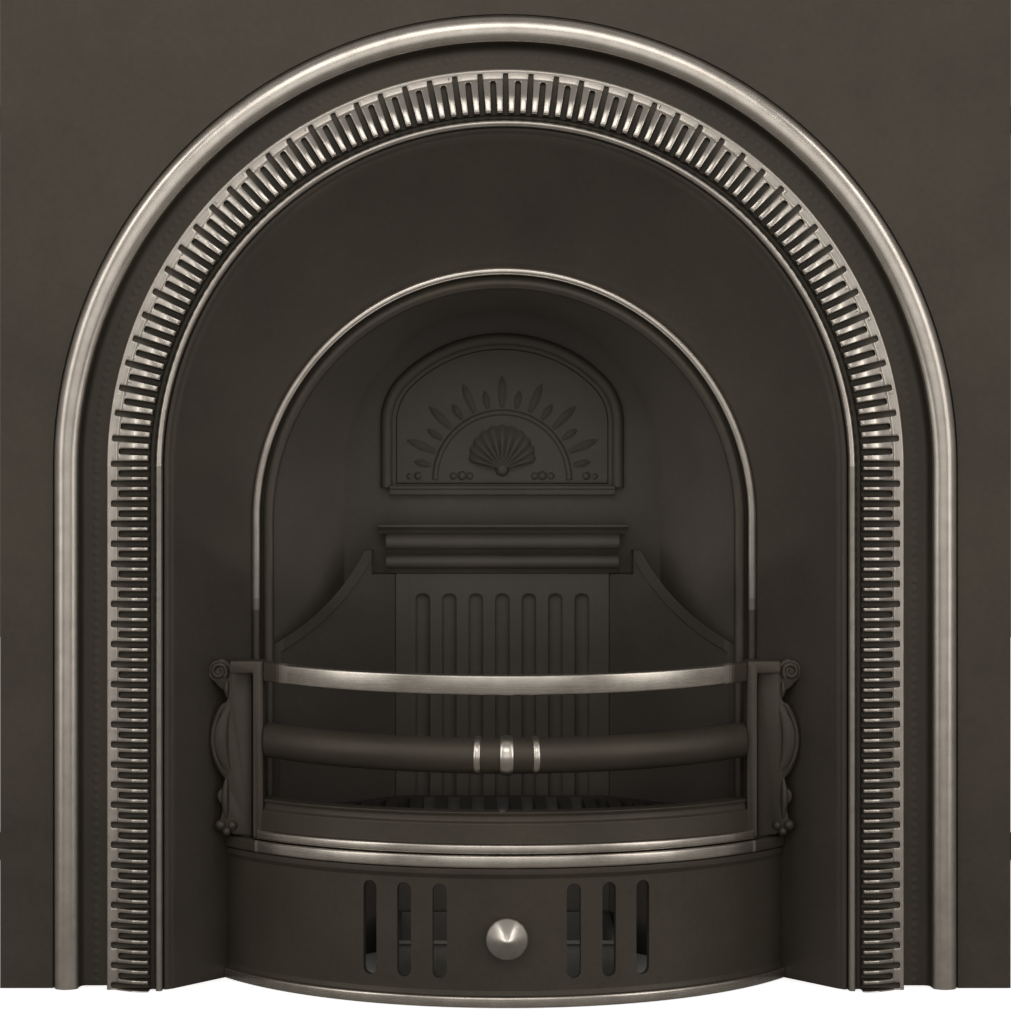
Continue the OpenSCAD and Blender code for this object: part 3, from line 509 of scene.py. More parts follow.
archFrame = {"spring": 498, "beadR": 418.8, "beadHalf": 10.7, "beadD": 8.8, "beadCurve": 13.2, "coveD": -12.5,
             "flangeR": 450, "edgeR": 431.6, "innerR": 350, "pearlR": 393, "pearlHalf": 3.3, "pearlRise": 0.25,
             "pearlPitch": 8.6, "polishIn": 405.4, "polishOut": 429.8, "legShineWithPaintedShade": 0.76, "shineRise": 240}


def frameProfile(p):
    r, half, c, big = p["beadR"], p["beadHalf"], p["coveD"], p["beadCurve"]
    spread = math.degrees(math.asin(half / big))
    line = [(p["flangeR"], -11), (p["flangeR"], -6), (p["edgeR"], -6), (p["edgeR"], -1.4), (r + half + 0.8, -1.0)]
    line += arc(r, p["beadD"] - big, big, 90 - spread, 90 + spread, 24)
    line += [(r - half - 0.3, -0.5), (r - half - 0.6, -6.4)]
    line += arc(r - half - 6.7, -6.6, 5.9, 0, -90, 8)
    line += [(385, c), (p["innerR"], c), (p["innerR"], c - 6), (r - 12.6, c - 6), (r - 6.6, -11)]
    return [(a, b, p["spring"] - (valueAt(crownDrop, a) if b > c - 1 and a > 380 else 0)) for a, b in line]


def archShineWithPaintedShade(z, start, p):
    # the polish is lowered on the legs and whole at the crown: the dimmer legs are painted shade
    return blend(p["legShineWithPaintedShade"], 1, share(z, start, start + p["shineRise"]))


def framePolish(x, d, z, p=archFrame):
    onBead = p["polishIn"] < archRadius(x, z, p["spring"]) < p["polishOut"] and d > 0.2
    return archShineWithPaintedShade(z, p["spring"], p) * onBead


frameArch = sweepArch("archFrameMoulding", frameProfile(archFrame), 200, 1)
polishFaces(frameArch, framePolish)
dress(frameArch, mouldingIron, "surround", "black_iron", "arch_frame")


def pearlCell(p):
    r = p["pearlHalf"]
    profile = [(r, -0.6)] + [(r * cosD(a), p["pearlRise"] * sinD(a)) for a in (10, 30, 50, 70, 86)]
    return meshObject("pearlCell", [lathe(profile, place(p["pearlR"], p["coveD"], 0), (0, -1, 0), 10)], 60)


def pearlRow(name, p):
    legCount = int(p["spring"] / p["pearlPitch"])
    legStep = p["spring"] / legCount
    crownCount = int(math.pi * p["pearlR"] / p["pearlPitch"])
    rows = [repeated(pearlCell(p), blackIron, crownCount + 1, 180 / crownCount, start=(0, 0, p["spring"] * mm))]
    for side in (0, 2 * p["pearlR"]):
        rows.append(repeated(pearlCell(p), blackIron, legCount, step=(0, 0, legStep * mm),
                             start=(-side * mm, 0, legStep / 2 * mm)))
    return joined(name, rows, 60)


dress(pearlRow("covePearls", archFrame), blackIron, "surround", "black_iron")
print("arch frame made")

# crownEnd: turn of the first crown flute; lowest: height of the first leg flute; From and To: where the polish changes;
# the legs' lower polish values are painted shade
band = {"spring": 498, "floorD": 5.5, "crownFluteW": 5.4, "legFluteW": 5.6, "longEnd": 375.5, "shortEnd": 368.0,
        "crownSteps": 96, "crownEnd": 0.35, "legFlutes": 52, "lowest": 4.2, "jointRise": 2.6, "draft": 0.03,
        "grooveFrom": 338.45, "slopeFrom": 368.5, "crestFrom": 353.9, "crestTo": 338.6, "beadZone": (326.3, 332.5),
        "crownShine": {"flat": 0.78, "slope": 0.75, "crest": 1.0, "bead": 0.80},
        "legShineWithPaintedShade": {"flat": 0.7, "slope": 0.42, "crest": 0.9, "bead": 0.44}}

# the moulding's section, as (radius, d): lip, flat, step, rising ridge, crest and the groove behind the thin bead
bandTop = [(379.5, 4.0), (379.4, 6.4), (378.9, 7.6), (377.9, 8.2), (376.8, 8.2), (376.0, 7.9), (375.2, 7.8),
           (371.0, 7.9), (370.0, 8.1), (369.3, 8.7), (368.7, 9.6), (368.0, 10.3), (366.8, 10.9), (363.0, 12.9),
           (359.0, 15.1), (356.0, 16.7), (353.8, 17.6), (351.5, 18.3), (349.0, 18.9), (346.0, 19.5), (343.3, 19.9),
           (341.4, 20.1), (340.0, 20.0), (339.2, 19.4), (338.7, 18.2), (338.5, 15.0), (338.4, 8.0), (338.0, 5.4),
           (336.5, 4.6), (334.2, 4.8), (333.0, 5.8)]
thinBead = [(332.3, 9.5)] + arc(329.2, 11.5, 3.0, -15, 195, 12) + [(326.2, 9.8), (326.0, 8.6)]
bandBack = [(326, -18.5), (331, -18.5), (331, -2), (340.5, -2), (344.5, 1), (367.5, 1), (373.5, -3), (373.5, -12.5)]


def fluteCell(p, width, end, shine, halfPitch, turn=None):
    # one groove with half a ridge on each side, along +X; halfPitch(r) is its share of the arc at that radius
    half = width / 2
    middle = end - half
    rows = [r for r, h in bandTop] + [end + 0.02, end] + [middle + half * t for t in (0.97, 0.88, 0.72, 0.5, 0.25, 0)]
    rows = sorted(set(rows), reverse=True)
    rows = [r for i, r in enumerate(rows) if i == 0 or rows[i - 1] - r > 0.015]
    under = thinBead + bandBack + [(rows[0], bandBack[-1][1])]
    radii = rows + [r for r, d in under]
    bm = bmesh.new()
    layer = bm.faces.layers.float.new("polish")

    def spot(r, u, d, edge):
        if turn is None:
            return place(r, d, u)
        a = turn[0]
        if edge:
            a += math.copysign(turn[1] / 2, u)
            return place(r * cosD(a), d, r * sinD(a))
        return place(r * cosD(a) - u * sinD(a), d, r * sinD(a) + u * cosD(a))

    # thirteen lines across the cell: the groove's floor, its walls and worn lips, and the ridge out to its middle
    rings, flags = [], []
    for j in range(-6, 7):
        step, side = abs(j), math.copysign(1, j)
        ring, flag = [], []
        for r in rows:
            top = valueAt(bandTop, r)
            deep = top - p["floorD"]
            beyond = max(r - middle, 0) / half
            opened = p["grooveFrom"] < r < end - 0.001 and deep > 0.6
            w = max(half * max(1 - beyond ** 3, 0) ** (1 / 3) if r < end else 0, half * 0.3)
            wall = w + (p["draft"] * deep if opened else 0)
            ridge = halfPitch(r) - wall
            lip = min(0.5, 0.3 * max(deep, 0)) if opened else 0.0
            offset = (0, w, wall, wall + 0.10 * ridge, wall + 0.25 * ridge, wall + 0.6 * ridge, halfPitch(r))[step]
            drop = (0, 0, 1, 0.55, 0.22, 0.05, 0)[step] * lip
            height = (p["floorD"] - (0.8 if step == 0 else 0)) if opened and step < 2 else top - drop
            ring.append(spot(r, side * offset, height, step == 6))
            flag.append(opened)
        grow, add = ((0, 0), (0.3, 0), (0.9, 0), (0.95, 0.2), (1.2, 0.4), (1.35, 0.6), (0, 0))[step]
        for r, d in under:
            offset = halfPitch(r) if step == 6 else grow * half + add
            ring.append(spot(r, side * offset, d, step == 6))
            flag.append(False)
        rings.append([bm.verts.new(v) for v in ring])
        flags.append(flag)
    low, high = p["beadZone"]
    for c in range(12):
        onRidge = abs(c - 5.5) > 2
        for i in range(len(radii)):
            k = (i + 1) % len(radii)
            face = bm.faces.new((rings[c][i], rings[c][k], rings[c + 1][k], rings[c + 1][i]))
            if i < len(rows) - 1:
                inGroove = flags[c][i] or flags[c][k]
                zone = "flat" if rows[i] > p["slopeFrom"] else "slope" if rows[i] > p["crestFrom"] else "crest"
                face[layer] = shine[zone] if (onRidge or not inGroove) and rows[k] > p["crestTo"] else 0.0
            elif i < len(rows) + len(thinBead):
                face[layer] = shine["bead"] if low < radii[i] < high else 0.0
    return asObject(bm, "fluteCell")


crownStep = (180 - 2 * band["crownEnd"]) / band["crownSteps"]
crownShare = math.tan(math.radians(crownStep / 2))
legPitch = (band["spring"] + band["jointRise"] - band["lowest"]) / band["legFlutes"]
springZ = band["spring"] * mm


def crownMoulding(p):
    rows = []
    for first, end, count in ((0, "longEnd", p["crownSteps"] // 2 + 1), (1, "shortEnd", p["crownSteps"] // 2)):
        cell = fluteCell(p, p["crownFluteW"], p[end], p["crownShine"], lambda r: r * crownShare,
                         (p["crownEnd"] + first * crownStep, crownStep))
        rows.append(repeated(cell, mouldingIron, count, 2 * crownStep, start=(0, 0, springZ)))
    obj = joined("flutedCrownMoulding", rows, 40, [((0, 0, springZ), (0, 0, -1))])
    for v in obj.data.vertices:
        r = math.hypot(v.co.x, v.co.z - springZ)
        lower = valueAt(crownDrop, r / mm) * mm * max(v.co.z - springZ, 0) / r
        v.co.x *= 1 - lower / r
        v.co.z = springZ + (v.co.z - springZ) * (1 - lower / r)
    return obj


def legMoulding(name, side, p=band):
    rows = []
    for first, end, count in ((0, "longEnd", p["legFlutes"] // 2 + 1), (1, "shortEnd", p["legFlutes"] // 2)):
        # the legs' flutes take the lower leg polish, painted shade
        cell = fluteCell(p, p["legFluteW"], p[end], p["legShineWithPaintedShade"], lambda r: legPitch / 2)
        rows.append(repeated(cell, mouldingIron, count, step=(0, 0, 2 * legPitch * mm),
                             start=(0, 0, (p["lowest"] + first * legPitch) * mm)))
    obj = joined(name, rows, 40, [((0, 0, 0), (0, 0, -1)), ((0, 0, springZ), (0, 0, 1))])
    if side < 0:
        for v in obj.data.vertices:
            v.co.x = -v.co.x
        obj.data.flip_normals()
    return obj


dress(crownMoulding(band), mouldingIron, "surround", "polished_iron", "fluted_crown")
dress(legMoulding("leftFlutedMoulding", -1), mouldingIron, "surround", "polished_iron", "left_fluted_leg")
dress(legMoulding("rightFlutedMoulding", 1), mouldingIron, "surround", "polished_iron", "right_fluted_leg")
print("fluted mouldings made")

# reveal, opening ring, throat

reveal = {"frontR": 319.5, "frontD": 5, "spring": 498, "springDrop": 2.3, "rearR": 249, "rearD": -80,
          "rearSpring": 447.5, "wall": 6}


def revealProfile(p):
    # (radius, d, spring): the lip and its cavetto, the splay, the two flanges and the outer wall
    low, rearSpring = p["spring"] - p["springDrop"], p["rearSpring"]

    def onSplay(t, off=0.0):
        return (blend(p["frontR"], p["rearR"], t) + off, blend(p["frontD"], p["rearD"], t), blend(low, rearSpring, t))

    lip = [(325.6, -12), (325.6, 5.2), (325.0, 6.2), (324.2, 6.5)] + arc(324.2, 1.3, 5.2, 90, 160, 8)[1:-1]
    inner = [onSplay(t) for t in (0.03, 0.06, 0.12, 0.25, 0.4, 0.6, 0.8, 0.92, 0.99)]
    rear = [(248.9, -80.5), (248.9, -82), (275, -82), (275, -76), (258, -76)]
    outer = [onSplay(t, p["wall"]) for t in (0.93, 0.7, 0.42)]
    flange = [(332, -24.5, 485), (372, -24.5, 498), (372, -18.5, 498), (331.5, -18.5, 489)]
    return [(r, d, low) for r, d in lip] + inner + [(r, d, rearSpring) for r, d in rear] + outer + flange


dress(sweepArch("splayedReveal", revealProfile(reveal), 160, 6), revealIronPaintedLight, "surround", "black_iron", "splay_arch")

opening = {"spring": 447.5, "beadR": 245.5, "beadS": 3.8, "beadD": -80, "rollR": 233.5, "rollS": 5.5, "rollD": -85,
           "polishIn": 241.5, "polishD": -82.4, "polishLow": 352, "polishHigh": 372, "legShineWithPaintedShade": 0.33, "shineRise": 270}


def openingProfile(p):
    line = [(275, -88), (275, -82), (250.0, -82), (249.5, -80.8)]
    line += [(r, p["beadD"] + 0.85 * (d - p["beadD"])) for r, d in arc(p["beadR"], p["beadD"], p["beadS"], 5, 190, 16)]
    line += [(241.1, -82.5), (240.6, -85.0), (240.0, -85.6), (239.2, -85.4)]
    line += arc(p["rollR"], p["rollD"], p["rollS"], 5, 185, 16) + [(228.2, -87.9)]
    return [(r, d, p["spring"]) for r, d in line]


def openingPolish(x, d, z, p=opening):
    # the bead alone is bright; its paling down the legs is painted shade, and it is black below polishLow
    if archRadius(x, z, p["spring"]) < p["polishIn"] or d < p["polishD"]:
        return 0.0
    return archShineWithPaintedShade(z, p["polishHigh"], p) * share(z, p["polishLow"], p["polishHigh"])


openingRing = sweepArch("openingRing", openingProfile(opening), 160, 40)
polishFaces(openingRing, openingPolish)
dress(openingRing, openingIron, "surround", "black_iron", "inner_arch_ring")

throat = [(275, -88, 447.5), (236, -88, 447.5), (218.4, -118, 460.5), (200.8, -148, 473.5), (182.6, -179, 487),
          (165, -209, 500), (190, -209, 500), (190, -204, 500), (173, -204, 498), (190.5, -175, 485.5),
          (209, -144, 472), (227, -114, 459), (238.5, -93, 449.5), (275, -93, 447.5)]
dress(sweepArch("throatCasing", throat, 120, 4), throatIronPaintedLight, "surround", "sooty_iron", "throat_shell")
print("reveal and throat made")

# register door and fireback

fireback = {"half": 190, "spring": 500, "front": -209, "back": -215, "upperFoot": 390.53}
register = {"rollR": 145, "rollZ": 490, "shoulder": 58, "sill": 484, "fieldD": -210, "sunZ": 488.5, "ringR": 70,
            "rayIn": 76, "rayLong": 32, "rayShort": 18, "hingeX": 80, "hingeZ": 472, "hingeD": -226}


def basketPath(inset, p=register):
    # the three-centred arch, from the right foot over the crown to the left foot, as (x, z)
    small = p["rollR"] - p["shoulder"] * math.sqrt(2) - inset
    z = p["rollZ"] + p["shoulder"]
    crown = arc(0, p["rollZ"], p["rollR"] - inset, 45, 135, 48)
    return arc(p["shoulder"], z, small, 0, 43, 12) + crown + arc(-p["shoulder"], z, small, 137, 180, 12)


def archedOutline(inset, x, z):
    return [(x, z)] + basketPath(inset) + [(-x, z)]


def upperFireback(p=register):
    half, low = fireback["half"], fireback["upperFoot"]
    outer = [(half, low)] + arc(0, fireback["spring"], half, 0, 180, 72) + [(-half, low)]
    inner = archedOutline(10, 111, p["sill"])
    # the wall round the door, in two depths, bridged between outer and inner loops
    bm = bmesh.new()
    loops = [[[bm.verts.new(place(x, d, z)) for x, z in path] for path in (outer, inner)]
             for d in (fireback["front"], fireback["back"])]
    for row in loops:
        edges = [bm.edges.new((ring[i], ring[(i + 1) % len(ring)])) for ring in row for i in range(len(ring))]
        bmesh.ops.triangle_fill(bm, use_beauty=True, use_dissolve=False, edges=edges)
    for front, back in zip(*loops):
        for i in range(len(front)):
            k = (i + 1) % len(front)
            bm.faces.new((front[i], front[k], back[k], back[i]))
    # the arched roll
    path = archedOutline(0, 121, 480)
    section = arc(0, 0, 6.2, 0, 180, 12) + [(-6.2, -1), (6.2, -1)]
    rings = [[place(x + t.y * o, fireback["front"] + h, z - t.x * o) for o, h in section]
             for (x, z), t in zip(path, tangents(path))]
    ledge = rounded([(-209.5, 472, 0), (-199.5, 472, 1.5), (-199, 477, 1.5), (-201.5, 479, 0.8), (-201.5, 482, 1.2),
                     (-209.5, 482, 0)])
    parts = [loft(rings), loft([[place(x, d, z) for d, z in ledge] for x in (-117.5, 117.5)])]
    # two eyes for each hinge pin, each on its foot
    eyeHalf = 2.5
    for x in [side * p["hingeX"] + off for side in (-1, 1) for off in (-10.8, 10.8)]:
        eye = [(0.01, -eyeHalf), (8, -eyeHalf), (8, eyeHalf), (0.01, eyeHalf)]
        parts.append(lathe(eye, place(x, p["hingeD"], p["hingeZ"]), (1, 0, 0), 24))
        parts.append(slab(x - eyeHalf, x + eyeHalf, 465, 479, -214, -225))
    addParts(bm, parts)
    return finishMesh(bm, "upperFirebackCasting", 30)


dress(upperFireback(), sootyIron, "surround", "sooty_iron", "upper_fireback")


def leafRay(length, half, p=register):
    # a small leaf with a raised midrib, pointing along +X from the sun's centre
    rings = []
    for t, w in ((0, 0.5), (0.25, 0.8), (0.55, 1.0), (0.8, 0.7), (1.0, 0.05)):
        rise = 0.55 + 0.45 * w
        rings.append([place(p["rayIn"] + length * t, p["fieldD"] + h, side * half * w) for side, h in
                      ((-1, -1.0), (-1, 0.8 * rise), (0, 3.0 * rise), (1, 0.8 * rise), (1, -1.0))])
    return loft(rings)


def turnedAboutSun(part, angle):
    verts, faces = part
    return [(x * cosD(angle) - z * sinD(angle), y, x * sinD(angle) + z * cosD(angle)) for x, y, z in verts], faces


def sunburst(p):
    # seven long leaves with eight short ones between them
    rows = []
    for length, half, first, count in ((p["rayLong"], 4.4, 22.5, 7), (p["rayShort"], 3.8, 11.25, 8)):
        cell = meshObject("ray", [turnedAboutSun(leafRay(length, half), first)], 30)
        rows.append(repeated(cell, sootyIron, count, 22.5, start=(0, 0, p["sunZ"] * mm)))
    return joined("sunburstRays", rows, 30)


def registerDoor(p):
    # the field fills the hole in the wall, and a wider flap shuts against the wall's back
    parts = [prism(archedOutline(10.7, 110.3, p["sill"] + 0.7), p["fieldD"], -216.5),
             prism(archedOutline(4, 117, p["sill"] - 2.7), -216, -221)]
    r = p["ringR"]
    ringProfile = [(r - 3, -1), (r + 3, -1)] + arc(r, 0, 2.9, 0, 180, 8)
    parts.append(loft([[place(o * cosD(a), p["fieldD"] + d, p["sunZ"] + o * sinD(a)) for o, d in ringProfile]
                       for a in range(0, 181, 3)]))
    for x in (-p["hingeX"], p["hingeX"]):
        eye = [(0.01, -8), (6.5, -8), (6.5, 8), (0.01, 8)]
        parts.append(lathe(eye, place(x, p["hingeD"], p["hingeZ"]), (1, 0, 0), 24))
        parts.append(slab(x - 8, x + 8, 472, 488, -216.2, -225.8))
    parts.append(dome(place(0, p["fieldD"] + 0.5, 571), 2.4, steps=12, rings=4))
    # curled leaves above the sill, on both sides of the shell
    for side in (-1, 1):
        for x, size in ((34, 4.2), (42, 5.0), (51, 4.0), (88, 4.4), (97, 3.4)):
            parts.append(dome(place(side * x, p["fieldD"] - 1.4, 490 + size * 0.5), size, steps=16, rings=6))
    return meshObject("registerDoorCasting", parts, 30)


dress(registerDoor(register), sootyIron, "register", "sooty_iron", "register_door")
dress(sunburst(register), sootyIron, "register", "sooty_iron")

shell = {"baseZ": 497, "radius": 46, "spread": 78, "ribs": 11, "rise": 9.5}


def shellOrnament(p):
    # a fan: height falls from the hinge to a scalloped rim, with a rib for every share of the spread
    across, along = p["ribs"] * 8, 12
    d0, z0 = register["fieldD"], p["baseZ"] + 2
    rings = []
    for i in range(across + 1):
        a = -p["spread"] + 2 * p["spread"] * i / across
        wave = abs(math.cos(math.pi * p["ribs"] * i / across + math.pi / 2))
        reach = p["radius"] * (0.70 + 0.30 * cosD(a)) * (0.95 + 0.05 * wave)
        front, back = [], []
        for j in range(along + 1):
            t = 0.05 + 0.95 * j / along
            bulge = math.sin(math.pi * (0.18 + 0.80 * t)) ** 0.7
            h = p["rise"] * bulge * (0.70 + 0.30 * wave * min(1.0, t * 2.2)) + 0.4
            x, z = reach * t * sinD(a), z0 + reach * t * cosD(a)
            front.append(place(x, d0 + h, z))
            back.append(place(x, d0 - 0.6, z))
        rings.append(front + back[::-1])
    return meshObject("scallopShell", [loft(rings), dome(place(0, d0 - 0.5, z0), 7.5)], 50)


dress(shellOrnament(shell), sootyIron, "register", "sooty_iron", "shell_ornament")

cornice = {"halfTop": 129, "half": 120.5, "low": 391}


def corniceShelf(p):
    # two rolls under a wider board with a hollow below its edge
    z, wall = p["low"], fireback["front"]
    rolls = [(wall, z), (-197, z), (-196, z + 2)] + arc(-191, z + 12, 7.2, -110, 100, 14)
    rolls += [(-192.5, z + 20.0), (-189.5, z + 22.5), (-188, z + 25)] + arc(-182, z + 32.5, 7.8, -95, 110, 14)
    rolls += [(-185.0, z + 41.0), (wall, z + 41.0)]
    board = [(wall, z + 41.2), (-184.6, z + 41.2), (-183.2, z + 44.0), (-180.0, z + 46.2), (-176.0, z + 47.4),
             (-175.2, z + 48.2), (-175.0, z + 50.2), (-176.2, z + 50.8), (wall, z + 50.8)]
    parts = [loft([[place(x, d, h) for d, h in line] for x in (-half, half)])
             for line, half in ((rolls, p["half"]), (board, p["halfTop"]))]
    return meshObject("corniceCasting", parts, 30)


dress(corniceShelf(cornice), sootyIron, "surround", "sooty_iron", "cornice_shelf")

flutedBack = {"halfW": 111, "low": 150, "high": 390.5, "fluteTop": 362, "pitch": 27.6, "flutes": 7, "fluteR": 7.5,
              "depth": 0.55, "panelD": -199, "backD": -210}


def backFluteCell(p):
    # one hollow flute with a round head, on its strip of the panel; its sides stay open for the next one
    half, r = p["pitch"] / 2, p["fluteR"]
    us = [-half] + [-r * cosD(a) for a in range(0, 181, 12)] + [half]
    rows = [p["low"] + (p["fluteTop"] - p["low"]) * i / 6 for i in range(6)]
    rows += [p["fluteTop"] + r * sinD(a) for a in range(0, 91, 15)] + [p["high"]]
    bm = bmesh.new()
    rings = []
    for z in rows:
        reach = r ** 2 - max(z - p["fluteTop"], 0.0) ** 2
        ring = [place(u, p["panelD"] - math.sqrt(max(reach - u * u, 0)) * p["depth"], z) for u in us]
        ring += [place(half, p["backD"], z), place(-half, p["backD"], z)]
        rings.append([bm.verts.new(v) for v in ring])
    n = len(us)
    for a, b in zip(rings, rings[1:]):
        for j in [*range(n - 1), n]:
            bm.faces.new((a[j], a[j + 1], b[j + 1], b[j]))
    for ring in (rings[0], rings[-1]):
        bm.faces.new(ring)
    return asObject(bm, "backFlute")


def lowerFireback(p):
    edge = p["flutes"] / 2 * p["pitch"]
    flutes = repeated(backFluteCell(p), sootyIron, p["flutes"], step=(p["pitch"] * mm, 0, 0),
                      start=((1 - p["flutes"]) / 2 * p["pitch"] * mm, 0, 0))
    solids = [slab(-fireback["half"], fireback["half"], 0, p["high"], fireback["front"], fireback["back"])]
    for x0, x1 in ((-p["halfW"], -edge), (edge, p["halfW"])):
        solids.append(slab(x0, x1, p["low"], p["high"], p["panelD"], p["backD"]))
    bm = bmesh.new()
    addParts(bm, solids)
    bm.from_mesh(flutes)
    bmesh.ops.holes_fill(bm, edges=[e for e in bm.edges if e.is_boundary], sides=0)
    return finishMesh(bm, "lowerFirebackCasting", 30)


dress(lowerFireback(flutedBack), sootyIron, "surround", "sooty_iron", "lower_fireback")
print("fireback made")

# fire front

# the fire front and the cover are bowed about one centre, behind the plate's face
bow = {"behind": 248, "barEndX": 231.8, "barEndD": -12}
bowY = faceY + bow["behind"] * mm
fireFront = {"railLow": 140.6, "railHigh": 178.5, "postX": 232, "postW": 10.5, "postFront": -12, "postBack": -44,
             "lugZ": 299.3, "lugH": 12, "lugEnd": 264.5, "bossAt": (-4, 75.4, 177.2), "bossR": 4.6,
             "rimZ": (140.7, 149.3), "rimIn": 331.8, "rimEndX": 238}


def onBow(rho, a, z):
    return (rho * mm * math.sin(a), bowY - rho * mm * math.cos(a), z * mm)


def bowRadius(x, d):
    return math.hypot(x, bow["behind"] + d)


def tip(point, angle, z):
    # turns a point about the line through the bars' ends
    x, y, h = point
    _, y0, z0 = place(0, bow["barEndD"], z)
    return (x, y0 + (y - y0) * cosD(angle) - (h - z0) * sinD(angle),
            z0 + (y - y0) * sinD(angle) + (h - z0) * cosD(angle))


def bowRings(profile, endX, steps, tilt=0, tiltZ=0):
    # profile: (radius in plan, z); every line of the sweep ends at the same x
    return [[tip(onBow(rho, math.asin(endX / rho) * (2 * i / steps - 1), z), tilt, tiltZ) for rho, z in profile]
            for i in range(steps + 1)]


def roundedBox(x0, x1, dFront, dBack, z0, z1, r):
    outline = rounded([(x0, z0, r), (x1, z0, r), (x1, z1, r), (x0, z1, r)], 3)
    cx, cz = (x0 + x1) / 2, (z0 + z1) / 2

    def shrunk(inset):
        kx, kz = 1 - inset / ((x1 - x0) / 2), 1 - inset / ((z1 - z0) / 2)
        return [(cx + (x - cx) * kx, cz + (z - cz) * kz) for x, z in outline]

    rings = []
    for depth, inset in ((dFront, r * 0.9), (dFront - r * 0.35, r * 0.3), (dFront - r, 0), (dBack + r, 0),
                         (dBack + r * 0.35, r * 0.3), (dBack, r * 0.9)):
        rings.append([place(x, depth, z) for x, z in shrunk(inset)])
    return loft(rings)


def fireFrontCasting(p):
    low, high = p["railLow"], p["railHigh"]
    profile = rounded([(309, low, 0.8), (336, low, 2.2), (336, low + 8.4, 2.2), (331, low + 9.0, 1.2),
                       (331, high - 10.6, 1.5), (327.6, high - 8.4, 3), (327.2, high - 4.0, 3), (329.4, high, 1),
                       (309, high, 0.8)], 5)
    inside, outside = p["postX"], p["postX"] + p["postW"]
    lugZ, lugTop = p["lugZ"], p["lugZ"] + p["lugH"]
    # the rail with the small boss on its upper edge; then post, lug and hook of each side
    boss = dome(place(*p["bossAt"]), p["bossR"], (0, -0.85, 0.52), 20, 8)
    parts = [loft(bowRings(profile, outside - 0.6, 110)), boss]
    for part in (roundedBox(inside, outside, p["postFront"] - 0.4, p["postBack"], low + 0.4, lugTop - 0.5, 2.6),
                 roundedBox(inside + 0.7, p["lugEnd"], p["postFront"] - 1.2, -47.3, lugZ, lugTop, 1.6),
                 roundedBox(247, 262.5, -42.3, -47.0, 283.3, lugZ + 4, 0.8)):
        parts += [part, mirrored(part)]
    return meshObject("fireFrontCasting", parts, 32)


def railPolish(x, d, z, p=fireFront):
    # the rail's lower rim, between the posts
    low, high = p["rimZ"]
    return low < z < high and d > p["postFront"] and bowRadius(x, d) > p["rimIn"] and abs(x) < p["rimEndX"]


fireFrontPiece = fireFrontCasting(fireFront)
polishFaces(fireFrontPiece, railPolish)
dress(fireFrontPiece, barIron, "fire_front", "black_iron", "fire_front")

flatBar = {"low": 291.7, "high": 310.1, "inR": 321, "outR": 331, "lean": 3.5, "leanZ": 292.4,
           "polishFade": (218, 207)}
roundBar = {"z": 233.8, "bowR": 319, "radius": 16.7, "lean": 3, "leanZ": 234.5, "collarBore": 16.75}


def topBarFlat(p):
    profile = rounded([(p["inR"], p["low"], 1), (p["outR"], p["low"], 2.0), (p["outR"], p["high"], 2.0),
                       (p["inR"], p["high"], 1)], 5)
    obj = meshObject("topBarFlat", [loft(bowRings(profile, bow["barEndX"], 140, p["lean"], p["leanZ"]))], 32)
    polishFaces(obj, lambda x, d, z: share(abs(x), *p["polishFade"]))
    return obj


def middleBarRound(p):
    profile = arc(p["bowR"], p["z"], p["radius"], 0, 360 - 12, 29)
    return meshObject("middleBarRound", [loft(bowRings(profile, bow["barEndX"], 110, p["lean"], p["leanZ"]))], 40)


def barCollar(x, width, rim=1.6, p=roundBar):
    a = math.asin(x / p["bowR"])
    centre = tip(onBow(p["bowR"], a, p["z"]), p["lean"], p["leanZ"])
    bore, h = p["collarBore"], width / 2
    outer = [(bore + rim * math.sin(math.pi * (0.1 + 0.8 * i / 8)) + 0.35, -h + width * (0.04 + 0.92 * i / 8))
             for i in range(9)]
    outer = [(bore, -h), (17.2, -h)] + outer + [(17.2, h), (bore, h)]
    axis = Vector((math.cos(a), math.sin(a) * cosD(p["lean"]), math.sin(a) * sinD(p["lean"])))
    n, last = 64, len(outer) - 1
    verts, faces = lathe(outer, centre, axis, n)
    # the two end caps give way to the wall of the bore
    return verts, faces[:-2] + [(last * n + i, last * n + (i + 1) % n, (i + 1) % n, i) for i in range(n)]


dress(topBarFlat(flatBar), barIron, "fire_front", "polished_iron", "top_bar")
dress(middleBarRound(roundBar), blackIron, "fire_front", "black_iron", "middle_bar")
collars = meshObject("barCollars", [barCollar(0, 12.0), barCollar(-26.4, 5.6, 1.0), barCollar(26.4, 5.6, 1.0)], 45)
dress(collars, brightIron, "fire_front", "polished_iron", "bar_collars")
print("fire front made")

# brackets

bracket = {"frontD": -34.3, "backD": -42.0, "stemX": 262, "wingR": 55.7, "wingX": 230.8, "wingZ": 234,
           "earAt": (277.3, 300), "earR": 8.0}


def splayLimit(d, p=reveal):
    # radius of the splay's face at this depth
    return p["frontR"] + (p["rearR"] - p["frontR"]) * (p["frontD"] - d) / (p["frontD"] - p["rearD"])


def bracketOutline(p=bracket):
    # right bracket, as (x, z): straight band by the post, curled ear, crescent wing, waisted stem
    line = [(245, 141.5), (245, 299.0), (264.8, 299.0), (266.2, 296.5)]
    line += arc(*p["earAt"], 11.3, 200, -70, 24)
    line += [(279.5, 287.0), (276.5, 284.0), (272.5, 281.5), (269.5, 278.5), (268.6, 274.5), (270.2, 270.5)]
    line += arc(p["wingX"], p["wingZ"], p["wingR"], 38, -38, 28)
    line += [(271.5, 196.5), (269.2, 192.0), (269.8, 188.5)]
    line += arc(270.5, 179, 8.5, 70, -50, 12)
    line += [(273.8, 168.5), (274.6, 162), (276, 157), (275, 149), (266, 146), (262.5, 141.5)]
    return line


